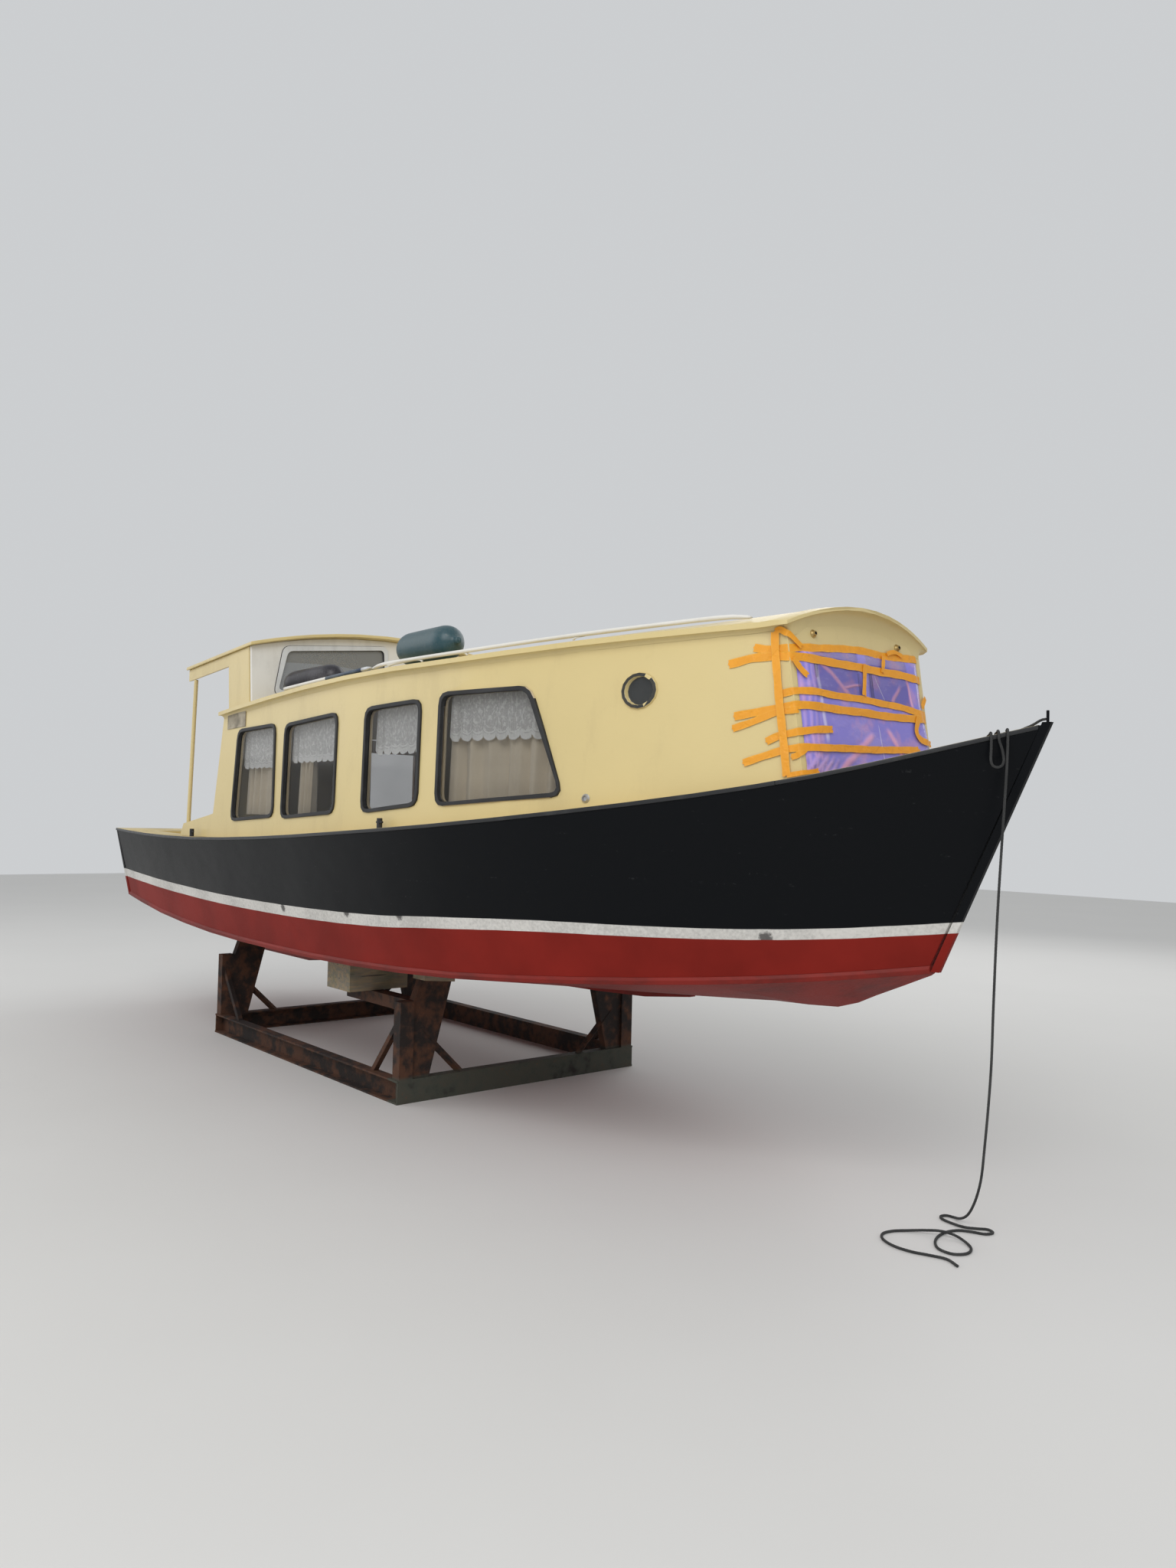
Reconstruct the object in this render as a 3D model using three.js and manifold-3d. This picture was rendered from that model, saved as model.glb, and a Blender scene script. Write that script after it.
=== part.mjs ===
// Steel motor cruiser laid up ashore on its boatyard cradle.
// Lengths are millimetres. +X points to the bow, +Y to port and +Z up.
// The origin lies on the ground under the middle of the boat's length and breadth.

import * as THREE from 'three';
import { mergeVertices } from 'three/addons/utils/BufferGeometryUtils.js';
import Module from 'manifold-3d';

const wasm = await Module();
wasm.setup();

// Driving dimensions of the hull
const LENGTH = 8500;
const STEM_X = LENGTH / 2;
const TRANSOM_X = -LENGTH / 2;
const PLATE = 40;
const STEM_BAR_WIDTH = 44;
const CHINE_BAR = 34;
const DECK_EDGE = 22;
const DECK_LIP = 8;
const GAP = 0.3;

// Driving dimensions of the cabin and the roof over it
const CABIN_INSET = 85;
const WALL = 40;
const BULKHEAD_X = -1640;
const FACE_FOOT_X = 3335;
const FACE_FOOT_Z = 2050;
const FACE_RAKE = 0.155;
const EAVE_Z = 2641;
const EAVE_SLOPE = 0.0457;
const EAVE_OVERHANG = 45;
const EAVE_CROWN = { middle: -250, reach: 1680, rise: 37 };
const ROOF = 28;
const ROOF_CAMBER = 125;

// Driving dimensions of the cockpit, its hardtop and the helm
const SOLE_Z = 1235;
const WELL_HALF = 1080;
const WELL_AFT_X = -3650;
const HARDTOP_FRONT_X = -1285;
const HARDTOP_AFT_X = -2545;
const HARDTOP_HALF = 1262;
const HARDTOP_EDGE_Z = 3078;
const HARDTOP_FALL = 0.065;
const HARDTOP_CAMBER = 180;
const HARDTOP_SHEET = 26;

// Driving dimensions of the stern gear and the cradle
const PROP_X = -3560;
const PROP_Z = 692;
const PROP_R = 158;
const SHAFT_R = 17;
const STOCK_R = 15;
const RUNNING = 0.95;
const RUDDER_X = -3800;
const CRADLE_FRONT_X = 515;
const CRADLE_AFT_X = -2385;
const CRADLE_HALF = 1000;
const CRADLE_BEAM = 150;

// Hull offsets from the transom to the stem, one row per station
const STATION_COLUMNS = [
  'sheerX', 'sheerY', 'sheerZ', 'chineX', 'chineY', 'chineZ', 'keelX', 'keelZ',
];
const STATIONS = [
  [-4209, 1252, 1638, -4209, 1120, 1010, -4209, 950],
  [-3200, 1336, 1615, -3200, 1185, 925, -3200, 835],
  [-2000, 1390, 1612, -2000, 1225, 866, -2000, 765],
  [-800, 1400, 1648, -800, 1235, 852, -800, 742],
  [300, 1398, 1706, 300, 1228, 866, 300, 745],
  [1300, 1314, 1774, 1280, 1130, 900, 1280, 768],
  [2200, 1105, 1863, 2120, 910, 958, 2120, 818],
  [2900, 834, 1957, 2770, 620, 1014, 2720, 872],
  [3400, 574, 2052, 3210, 370, 1064, 3130, 896],
  [3800, 328, 2158, 3500, 170, 1106, 3360, 985],
  [4197, 22, 2281, 3672, 22, 1134, 3668, 1120],
].map((row) => Object.fromEntries(STATION_COLUMNS.map((name, i) => [name, row[i]])));
const STATION_STEPS = 2;

// Interpolated hull station at a row number that may lie between two rows
function station(row) {
  const i = Math.min(Math.floor(row), STATIONS.length - 2);
  const t = row - i;
  const at = (k) => STATIONS[Math.min(Math.max(k, 0), STATIONS.length - 1)];
  const out = {};
  for (const name of STATION_COLUMNS) {
    const [a, b, c, d] = [at(i - 1)[name], at(i)[name], at(i + 1)[name], at(i + 2)[name]];
    const bend = 2 * b + (c - a) * t + (2 * a - 5 * b + 4 * c - d) * t * t
      + (3 * b - a - 3 * c + d) * t * t * t;
    out[name] = bend / 2;
  }
  return out;
}

const HULL = [];
for (let k = 0; k <= (STATIONS.length - 1) * STATION_STEPS; k += 1) {
  HULL.push(station(k / STATION_STEPS));
}

// Lift of the eave over a straight line, greatest over the after windows
function crownAt(x) {
  const { middle, reach, rise } = EAVE_CROWN;
  return rise * Math.max(0, 1 - ((x - middle) / reach) ** 2);
}

// Half-breadth and height of the sheer at a place along the boat, with the eave's lift there
function sheer(x) {
  let i = 1;
  while (i < HULL.length - 1 && HULL[i].sheerX < x) i += 1;
  const [a, b] = [HULL[i - 1], HULL[i]];
  const t = (x - a.sheerX) / (b.sheerX - a.sheerX);
  return {
    y: a.sheerY + (b.sheerY - a.sheerY) * t,
    z: a.sheerZ + (b.sheerZ - a.sheerZ) * t,
    crown: crownAt(a.sheerX) + (crownAt(b.sheerX) - crownAt(a.sheerX)) * t,
  };
}

// Cabin wall: its outer half-breadth at a place and height
function wallY(x, z) {
  const lean = 0.02 + 0.06 * Math.min(Math.max((x - 1600) / 1600, 0), 1);
  const { y, z: foot } = sheer(x);
  return y - CABIN_INSET - lean * (z - foot);
}

const eaveLine = (x) => EAVE_Z + EAVE_SLOPE * x;
const eaveZ = (x) => eaveLine(x) + sheer(x).crown;
const faceX = (z) => FACE_FOOT_X - FACE_RAKE * (z - FACE_FOOT_Z);
const mix = (a, b, t) => a + (b - a) * t;

// The two axes of the plane in which a ring of points shows its largest area
function flatPlane(ring) {
  const planes = [[0, 1], [0, 2], [1, 2]];
  const area = ([u, v]) => Math.abs(THREE.ShapeUtils.area(ring.map((p) => new THREE.Vector2(p[u], p[v]))));
  return planes.sort((a, b) => area(b) - area(a))[0];
}

// Closed solid through rings of points, each ring with the same number of points
function loft(rings) {
  const n = rings[0].length;
  const points = rings.flat();
  const index = [];
  for (let r = 0; r < rings.length - 1; r += 1) {
    for (let i = 0; i < n; i += 1) {
      const j = (i + 1) % n;
      const [a, b, c, d] = [r * n + i, r * n + j, (r + 1) * n + j, (r + 1) * n + i];
      index.push(a, b, c, a, c, d);
    }
  }
  const cap = (start, sign) => {
    const ring = points.slice(start, start + n);
    const [u, v] = flatPlane(ring);
    const outline = ring.map((p) => new THREE.Vector2(p[u], p[v]));
    const way = Math.sign(THREE.ShapeUtils.area(outline)) * sign;
    let faces = THREE.ShapeUtils.triangulateShape(outline, []);
    const thin = (tri) => Math.abs(THREE.ShapeUtils.area(tri.map((k) => outline[k]))) < 0.01;
    if (faces.length !== n - 2 || faces.some(thin)) {
      const middle = [0, 1, 2].map((k) => ring.reduce((sum, p) => sum + p[k], 0) / n);
      points.push(middle);
      outline.push(new THREE.Vector2(middle[u], middle[v]));
      faces = ring.map((_, i) => [i, (i + 1) % n, n]);
    }
    for (const tri of faces) {
      const turn = Math.sign(THREE.ShapeUtils.area(tri.map((k) => outline[k])));
      const [a, b, c] = tri.map((k) => (k === n ? points.length - 1 : start + k));
      index.push(...(turn === way ? [a, b, c] : [a, c, b]));
    }
  };
  cap(0, -1);
  cap((rings.length - 1) * n, 1);
  const geometry = new THREE.BufferGeometry();
  geometry.setAttribute('position', new THREE.Float32BufferAttribute(points.flat(), 3));
  geometry.setIndex(index);
  return outward(geometry);
}

// Turns a closed surface so that its faces point out
function outward(geometry) {
  const index = geometry.getIndex();
  const p = geometry.getAttribute('position');
  const corner = (k) => new THREE.Vector3().fromBufferAttribute(p, index.getX(k));
  let volume = 0;
  for (let k = 0; k < index.count; k += 3) {
    volume += corner(k).dot(corner(k + 1).cross(corner(k + 2)));
  }
  if (volume < 0) {
    for (let k = 0; k < index.count; k += 3) {
      const second = index.getX(k + 1);
      index.setX(k + 1, index.getX(k + 2));
      index.setX(k + 2, second);
    }
  }
  return geometry;
}

// A geometry with only merged positions, as a boolean solid
function solid(geometry) {
  let bare = geometry.clone();
  bare.deleteAttribute('normal');
  bare.deleteAttribute('uv');
  bare = mergeVertices(bare, 0.001);
  return new wasm.Manifold(new wasm.Mesh({
    numProp: 3,
    vertProperties: new Float32Array(bare.getAttribute('position').array),
    triVerts: new Uint32Array(bare.getIndex().array),
  }));
}

// A boolean solid back as a geometry
function surface(body) {
  const mesh = body.getMesh();
  const geometry = new THREE.BufferGeometry();
  geometry.setAttribute('position', new THREE.Float32BufferAttribute(mesh.vertProperties, 3));
  geometry.setIndex(Array.from(mesh.triVerts));
  return geometry;
}

function join(...geometries) {
  return surface(geometries.map(solid).reduce((sum, next) => sum.add(next)));
}

function cut(geometry, ...tools) {
  return surface(tools.map(solid).reduce((rest, tool) => rest.subtract(tool), solid(geometry)));
}

// The same solid on the other side of the boat
function toPort(geometry) {
  const copy = geometry.clone();
  const p = copy.getAttribute('position');
  for (let i = 0; i < p.count; i += 1) p.setY(i, -p.getY(i));
  return outward(copy.getIndex() ? copy : mergeVertices(copy));
}

function block(x0, x1, y0, y1, z0, z1) {
  const geometry = new THREE.BoxGeometry(x1 - x0, y1 - y0, z1 - z0);
  return geometry.translate((x0 + x1) / 2, (y0 + y1) / 2, (z0 + z1) / 2);
}

// Round bar between two points
function bar(from, to, radius, sides = 10) {
  const a = new THREE.Vector3(...from);
  const b = new THREE.Vector3(...to);
  const geometry = new THREE.CylinderGeometry(radius, radius, a.distanceTo(b), sides);
  const turn = new THREE.Quaternion().setFromUnitVectors(
    new THREE.Vector3(0, 1, 0), b.clone().sub(a).normalize(),
  );
  return geometry.applyQuaternion(turn).translate(...a.add(b).multiplyScalar(0.5).toArray());
}

// Round tube swept along a smooth route
function sweep(route, radius, sides, steps) {
  const path = new THREE.CatmullRomCurve3(route.map((p) => new THREE.Vector3(...p)));
  const section = new THREE.Shape(Array.from({ length: sides }, (_, k) => {
    const a = (k / sides) * Math.PI * 2;
    return new THREE.Vector2(radius * Math.cos(a), radius * Math.sin(a));
  }));
  return new THREE.ExtrudeGeometry(section, { steps, extrudePath: path, bevelEnabled: false });
}

// Flat plate with a straight outline given in X and Z, between two Y planes
function plateXZ(outline, y0, y1) {
  return loft([outline.map(([x, z]) => [x, y0, z]), outline.map(([x, z]) => [x, y1, z])]);
}

// Rounded outline through corner points, its straight edges in equal parts
function rounded(corners, radius, arc = 4, parts = 1) {
  const bends = corners.map((corner, i) => {
    const here = new THREE.Vector2(...corner);
    const before = new THREE.Vector2(...corners[(i + corners.length - 1) % corners.length]);
    const after = new THREE.Vector2(...corners[(i + 1) % corners.length]);
    const start = here.clone().add(before.sub(here).setLength(radius));
    const end = here.clone().add(after.sub(here).setLength(radius));
    return new THREE.QuadraticBezierCurve(start, here, end).getPoints(arc).map((p) => [p.x, p.y]);
  });
  return bends.flatMap((bend, i) => {
    const [x, z] = bend[arc];
    const [nx, nz] = bends[(i + 1) % bends.length][0];
    const edge = Array.from({ length: parts - 1 }, (_, k) => {
      const t = (k + 1) / parts;
      return [mix(x, nx, t), mix(z, nz, t)];
    });
    return [...bend, ...edge];
  });
}

// Closed band through four loops of points, such as a window frame
function band(loops) {
  const n = loops[0].length;
  const index = [];
  loops.forEach((_, r) => {
    const next = (r + 1) % loops.length;
    for (let i = 0; i < n; i += 1) {
      const j = (i + 1) % n;
      const [a, b, c, d] = [r * n + i, r * n + j, next * n + j, next * n + i];
      index.push(a, b, c, a, c, d);
    }
  });
  const geometry = new THREE.BufferGeometry();
  geometry.setAttribute('position', new THREE.Float32BufferAttribute(loops.flat(2), 3));
  geometry.setIndex(index);
  return outward(geometry);
}

// Ring between two outlines that follows the starboard cabin wall
function wallRing(outer, inner, proud, deep) {
  const on = (outline, reach) => outline.map(([x, z]) => [x, -(wallY(x, z) + reach), z]);
  return band([on(outer, proud), on(inner, proud), on(inner, -deep), on(outer, -deep)]);
}

// Four-cornered panel that follows the starboard cabin wall
function wallPane({ bl, br, tl, tr }, front, back, parts) {
  const rings = [];
  for (let k = 0; k <= parts; k += 1) {
    const t = k / parts;
    const low = [mix(bl[0], br[0], t), mix(bl[1], br[1], t)];
    const high = [mix(tl[0], tr[0], t), mix(tl[1], tr[1], t)];
    const at = ([x, z], reach) => [x, -(wallY(x, z) + reach), z];
    rings.push([at(low, front), at(high, front), at(high, back), at(low, back)]);
  }
  return loft(rings);
}

// Outline moved inwards towards the middle of its own box by a set distance
function inset(corners, by) {
  const cx = corners.reduce((s, c) => s + c[0], 0) / corners.length;
  const cz = corners.reduce((s, c) => s + c[1], 0) / corners.length;
  return corners.map(([x, z]) => [x - Math.sign(x - cx) * by, z - Math.sign(z - cz) * by]);
}

const boat = new THREE.Group();

const PAINTS = {
  bottom: { color: 0x7a1f1a, roughness: 0.6, metalness: 0 },
  topside: { color: 0x0c0f14, roughness: 0.3, metalness: 0 },
  cream: { color: 0xe6c67c, roughness: 0.4, metalness: 0 },
  white: { color: 0xdedbd0, roughness: 0.5, metalness: 0 },
  rubber: { color: 0x1c1b1d, roughness: 0.6, metalness: 0 },
  alloy: { color: 0xb9bcbe, roughness: 0.35, metalness: 0.9 },
  bronze: { color: 0x9a7434, roughness: 0.35, metalness: 0.9 },
  engine: { color: 0x2f5a46, roughness: 0.5, metalness: 0.3 },
  wood: { color: 0x9b6a3c, roughness: 0.6, metalness: 0 },
  cloth: { color: 0xcfc6b4, roughness: 0.9, metalness: 0 },
  film: { color: 0x8576d0, roughness: 0.3, metalness: 0 },
  blueVinyl: { color: 0x1d4a5c, roughness: 0.35, metalness: 0 },
  blackVinyl: { color: 0x1a1a20, roughness: 0.35, metalness: 0 },
  rope: { color: 0x1b1c1c, roughness: 0.9, metalness: 0 },
  rust: { color: 0x43251b, roughness: 0.85, metalness: 0.3 },
  timber: { color: 0x8d8069, roughness: 0.9, metalness: 0 },
};

function piece(name, geometry, paint) {
  const mesh = new THREE.Mesh(geometry, new THREE.MeshStandardMaterial(PAINTS[paint]));
  mesh.name = name;
  boat.add(mesh);
  return mesh;
}

function pair(name, starboard, paint) {
  piece(`${name}_starboard`, starboard, paint);
  piece(`${name}_port`, toPort(starboard), paint);
}

// Bottom plating between the chines, with the round chine bar at its edges
function hullBottom() {
  const bore = bar([RUDDER_X, 0, 800], [RUDDER_X, 0, 1200], STOCK_R + RUNNING, 24);
  const shell = loft(HULL.map((s) => [
    [s.chineX, -s.chineY, s.chineZ - 4],
    [s.keelX, 0, s.keelZ],
    [s.chineX, s.chineY, s.chineZ - 4],
    [s.chineX, s.chineY + 8, s.chineZ + CHINE_BAR / 2],
    [s.chineX, s.chineY, s.chineZ + CHINE_BAR],
    [s.chineX, -s.chineY, s.chineZ + CHINE_BAR],
    [s.chineX, -s.chineY - 8, s.chineZ + CHINE_BAR / 2],
  ]));
  return cut(shell, bore);
}

// Topside plating from the chine bar up to the deck edge
function hullSide() {
  return loft(HULL.map((s) => {
    const low = s.chineZ + CHINE_BAR + GAP;
    const high = s.sheerZ - DECK_EDGE - GAP;
    const inner = (y) => Math.max(y - PLATE, 2);
    return [
      [s.chineX, -s.chineY, low],
      [s.sheerX, -s.sheerY, high],
      [s.sheerX, -inner(s.sheerY), high],
      [s.chineX, -inner(s.chineY), low],
    ];
  }));
}

function transom() {
  const s = HULL[0];
  const outline = [
    [-s.sheerY, s.sheerZ - DECK_EDGE - GAP], [-s.chineY, s.chineZ], [0, s.keelZ], [s.chineY, s.chineZ],
    [s.sheerY, s.sheerZ - DECK_EDGE - GAP],
  ];
  return loft([TRANSOM_X, s.sheerX - GAP].map((x) => outline.map(([y, z]) => [x, y, z])));
}

// Stem bar with the short pin at its head
const BOW_PIN = { x: STEM_X - 22, height: 52, radius: 7 };
function stemBar() {
  const s = HULL[HULL.length - 1];
  const head = s.sheerZ + 11;
  const foot = s.chineZ + 4;
  const rake = (s.sheerX - s.chineX - 16) / (s.sheerZ - DECK_EDGE - s.chineZ - CHINE_BAR);
  const aftFace = (z) => s.sheerX + GAP + rake * (z - s.sheerZ + DECK_EDGE);
  const depth = STEM_X - aftFace(head);
  const half = STEM_BAR_WIDTH / 2;
  const ring = (z) => {
    const x = aftFace(z);
    return [[x, -half, z], [x + depth, -half / 2, z], [x + depth, half / 2, z], [x, half, z]];
  };
  return join(
    loft([ring(foot), ring(head)]),
    bar([BOW_PIN.x, 0, head - 12], [BOW_PIN.x, 0, head + BOW_PIN.height], BOW_PIN.radius, 8),
  );
}

// Keel bar that deepens aft into the skeg, with the shoe that carries the rudder
const SKEG_HALF = 22;
const SKEG_FOOT_Z = 490;
const SHOE = 26;
function keelSkeg() {
  const under = (x) => {
    let i = 1;
    while (i < HULL.length - 1 && HULL[i].keelX < x) i += 1;
    const [a, b] = [HULL[i - 1], HULL[i]];
    return mix(a.keelZ, b.keelZ, (x - a.keelX) / (b.keelX - a.keelX)) - GAP;
  };
  const aft = PROP_X + 150;
  const between = HULL.map((h) => h.keelX).filter((x) => x > aft && x < 2100);
  const top = [aft, ...between, 2100].map((x) => [x, under(x)]);
  const skeg = plateXZ([
    ...top, [2100, under(2100) - 8],
    ...between.filter((x) => x > -900).reverse().map((x) => [x, under(x) - 30]),
    [-2700, SKEG_FOOT_Z], [aft, SKEG_FOOT_Z],
  ], -SKEG_HALF, SKEG_HALF);
  const shoe = block(RUDDER_X - 60, aft + 20, -SKEG_HALF, SKEG_HALF, SKEG_FOOT_Z, SKEG_FOOT_Z + SHOE);
  const tunnel = bar([aft - 60, 0, PROP_Z], [aft + 420, 0, PROP_Z + 20], 42, 12);
  const bore = bar([aft - 80, 0, PROP_Z], [aft + 120, 0, PROP_Z], SHAFT_R + RUNNING, 24);
  const cup = SKEG_FOOT_Z + SHOE;
  const heel = bar([RUDDER_X, 0, cup - 8], [RUDDER_X, 0, cup + 20], STOCK_R + RUNNING, 24);
  return cut(join(skeg, shoe, tunnel), bore, heel);
}

// Deck plate between two places, its inner edge given as a half-breadth at each place
function deckStrip(places, innerEdge) {
  return loft(places.map((x) => {
    const { y, z } = sheer(x);
    const [outer, inner, low] = [y + DECK_LIP, innerEdge(x), z - DECK_EDGE];
    return [[x, -outer, low], [x, -outer, z], [x, -inner, z], [x, -inner, low]];
  }));
}

// Places along the deck where its edge and the cabin foot both bend
const DECK_PLACES = HULL.map((s) => s.sheerX);
const FOREDECK_AFT_X = 3250;

function foredeck() {
  const places = [FOREDECK_AFT_X + GAP, ...DECK_PLACES.filter((x) => x > FOREDECK_AFT_X + 1)];
  return loft(places.map((x) => {
    const { y, z } = sheer(x);
    const half = y + DECK_LIP * (x > 4100 ? 0 : 1);
    return [[x, -half, z - DECK_EDGE], [x, -half, z], [x, half, z], [x, half, z - DECK_EDGE]];
  }));
}

// Side deck with two mooring posts standing on it
const BOLLARD_PLACES = [789, -2117];
const BOLLARD_HEIGHT = 62;
function sideDeck() {
  const step = BULKHEAD_X - 3;
  const innerEdge = (x) => (x > step + 1 ? sheer(x).y - CABIN_INSET - WALL - 12 : WELL_HALF + PLATE + GAP);
  const places = [
    WELL_AFT_X - PLATE, ...DECK_PLACES.filter((x) => x > WELL_AFT_X && x < FOREDECK_AFT_X),
    step, step + 2, FOREDECK_AFT_X,
  ].sort((a, b) => a - b);
  const posts = BOLLARD_PLACES.flatMap((x) => {
    const { y, z } = sheer(x);
    const at = y - 36;
    return [
      bar([x, -at, z - 6], [x, -at, z + BOLLARD_HEIGHT], 17, 12),
      bar([x - 34, -at, z + BOLLARD_HEIGHT - 24], [x + 34, -at, z + BOLLARD_HEIGHT - 24], 8, 8),
    ];
  });
  return join(deckStrip(places, innerEdge), ...posts);
}

function aftDeck() {
  const fore = WELL_AFT_X - PLATE - GAP;
  const places = [TRANSOM_X, ...DECK_PLACES.filter((x) => x < fore), fore];
  return loft(places.map((x) => {
    const { y, z } = sheer(Math.max(x, DECK_PLACES[0]));
    const half = y + DECK_LIP;
    return [[x, -half, z - DECK_EDGE], [x, -half, z], [x, half, z], [x, half, z - DECK_EDGE]];
  }));
}

// Arched roof sections share these fractions of the half-breadth
const ARCH = [-1, -0.93, -0.84, -0.72, -0.6, -0.45, -0.3, -0.1, 0.1, 0.3, 0.45, 0.6, 0.72, 0.84, 0.93, 1];
function archRise(fraction, camber) {
  let i = 1;
  while (i < ARCH.length - 1 && ARCH[i] < fraction) i += 1;
  const rise = (f) => camber * (1 - f * f);
  return mix(rise(ARCH[i - 1]), rise(ARCH[i]), (fraction - ARCH[i - 1]) / (ARCH[i] - ARCH[i - 1]));
}

// Half-breadth of the cabin roof's edge
function roofHalf(x) {
  return wallY(x, eaveZ(x)) + EAVE_OVERHANG;
}

function roofUnder(x, y) {
  return eaveZ(x) - ROOF + archRise(y / roofHalf(x), ROOF_CAMBER);
}

// Rows of the cabin roof: place of the eave and how far the middle runs ahead of it
const ROOF_ROWS = [
  ...DECK_PLACES.filter((x) => x > BULKHEAD_X + 1 && x < 2950).map((x) => [x, 0]),
  [3000, 20], [3110, 34], [3190, 40], [3240, 42],
];
const ROOF_AFT_X = -1700;
const VISOR_TAPER = 38;

function cabinRoof() {
  const rows = [[ROOF_AFT_X, 0], ...ROOF_ROWS];
  return loft(rows.map(([x, ahead], k) => {
    const thin = k === rows.length - 1 ? ROOF - 10 : ROOF;
    const half = roofHalf(Math.min(x, 3130)) - (k === rows.length - 1 ? VISOR_TAPER : 0);
    const top = ARCH.map((f) => {
      const px = x + ahead * (1 - f * f);
      return [px, f * half, eaveZ(px) + archRise(f, ROOF_CAMBER) - (ROOF - thin) / 2];
    });
    const low = ARCH.map((f) => {
      const px = x + ahead * (1 - f * f);
      return [px, f * half, eaveZ(px) - thin + archRise(f, ROOF_CAMBER) - (ROOF - thin) / 2];
    });
    return [...top, ...low.reverse()];
  }));
}

// Side windows from aft to forward: corners as [x, z] on the wall
const WINDOW_COLUMNS = ['tl', 'tr', 'br', 'bl'];
const WINDOWS = [
  [[-1393, 2430], [-740, 2446], [-712, 1782], [-1452, 1742]],
  [[-590, 2432], [174, 2472], [178, 1816], [-594, 1772]],
  [[500, 2480], [1078, 2502], [1080, 1872], [500, 1822]],
  [[1236, 2527], [1906, 2530], [2146, 1934], [1236, 1870]],
].map((row) => Object.fromEntries(WINDOW_COLUMNS.map((name, i) => [name, row[i]])));
const WINDOW_RADIUS = 78;
const WINDOW_FRAME = 24;
const WINDOW_PARTS = 2;
const PORTHOLE = { x: 2536, z: 2473, outer: 92, glass: 74 };

function windowOutline(w, by) {
  const corners = inset([w.tl, w.tr, w.br, w.bl], by);
  return rounded(corners, WINDOW_RADIUS - by * 0.8, 3, WINDOW_PARTS);
}

function circle({ x, z }, radius, count = 16) {
  return Array.from({ length: count }, (_, k) => {
    const a = (k / count) * Math.PI * 2;
    return [x + radius * Math.cos(a), z + radius * Math.sin(a)];
  });
}

// Cabin side with its windows cut and its low tail along the cockpit
const TAIL_PLACES = [[-2540, 6], [-2470, 100], [-1900, 170]];
function cabinSide() {
  const ring = (footX, topX, topZ) => {
    const foot = sheer(footX).z + GAP;
    const yFoot = wallY(footX, foot);
    const yTop = wallY(topX, topZ);
    const seat = GAP + 5 * Math.max(0, (topX - 400) / 2600);
    const under = (y) => (topZ > 2400 ? roofUnder(topX, y) - seat : topZ);
    return [
      [footX, -yFoot, foot], [topX, -yTop, under(yTop)],
      [topX, -(yTop - WALL), under(yTop - WALL)], [footX, -(yFoot - WALL), foot],
    ];
  };
  const places = DECK_PLACES.filter((x) => x > BULKHEAD_X + 1 && x < 2950);
  const rings = [ring(-1850, -1690, eaveZ(-1690)), ...places.map((x) => ring(x, x, eaveZ(x)))];
  const end = (lead) => {
    const topX = faceX(2800) - WALL - lead;
    const footX = faceX(sheer(FACE_FOOT_X).z) - WALL - lead;
    return ring(footX, topX, eaveZ(topX));
  };
  rings.push(end(120), end(1));
  const main = loft(rings);
  const tail = loft([...TAIL_PLACES, [-1760, 190], [-1700, 190]].map(([x, height]) => {
    const foot = sheer(x).z + GAP;
    return ring(x, x, foot + height);
  }));
  const holes = WINDOWS.map((w) => {
    const outline = windowOutline(w, -0.5);
    return plateXZ(outline, -1500, -850);
  });
  const port = plateXZ(circle(PORTHOLE, PORTHOLE.outer + 0.5), -1000, -700);
  return cut(join(main, tail), ...holes, port);
}

function sideWindow(w) {
  const frame = wallRing(windowOutline(w, 0), windowOutline(w, WINDOW_FRAME), 12, WALL);
  const mid = inset([w.tl, w.tr, w.br, w.bl], WINDOW_FRAME * 0.6);
  const [tl, tr, br, bl] = mid;
  const outline = rounded([tl, tr, br, bl], WINDOW_RADIUS - 12, 3);
  const pane = wallPane({ tl, tr, br, bl }, -12, -18, 3);
  const clip = plateXZ(outline, -1500, -850);
  const clipped = surface(solid(pane).intersect(solid(clip)));
  return join(frame, clipped);
}

function porthole() {
  const frame = wallRing(circle(PORTHOLE, PORTHOLE.outer), circle(PORTHOLE, PORTHOLE.glass), 12, WALL);
  const outline = circle(PORTHOLE, PORTHOLE.glass + 8);
  const r = PORTHOLE.glass + 12;
  const { x, z } = PORTHOLE;
  const square = { tl: [x - r, z + r], tr: [x + r, z + r], br: [x + r, z - r], bl: [x - r, z - r] };
  const pane = wallPane(square, -12, -18, 2);
  return join(frame, surface(solid(pane).intersect(solid(plateXZ(outline, -1000, -700)))));
}

// Cabin front: a raked panel with two windows side by side
const FRONT_WINDOW = { inner: 38, outer: 400, low: 2440, high: 2640, frame: 22, corner: 36 };
function frontPanelHalf(z) {
  return wallY(faceX(z) - WALL, z);
}

// Point on the cabin front, measured out from its face
function onFace(y, z, out) {
  return [faceX(z) + out, y, z];
}

function cabinFront() {
  const count = 8;
  const low = sheer(FACE_FOOT_X).z + 1;
  const rings = [];
  for (let k = 0; k <= count; k += 1) {
    const f = -1 + (2 * k) / count;
    const foot = f * frontPanelHalf(low);
    const probe = f * frontPanelHalf(2740);
    const high = roofUnder(faceX(2740) - WALL, probe) - 4;
    const edge = Math.abs(f) > 0.99 ? 18 : 0;
    rings.push([
      onFace(foot, low, -edge), onFace(probe, high, -edge),
      onFace(probe, high, -WALL), onFace(foot, low, -WALL),
    ]);
  }
  const { inner, outer, low: wl, high: wh } = FRONT_WINDOW;
  const hole = (side) => {
    const [a, b] = [side * inner, side * outer];
    const outline = rounded([[a, wh], [b, wh], [b, wl], [a, wl]], FRONT_WINDOW.corner);
    return loft([faceX(wl) - 200, faceX(wl) + 200].map((x) => outline.map(([y, z]) => [x, y, z])));
  };
  return cut(loft(rings), hole(-1), hole(1));
}

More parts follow.
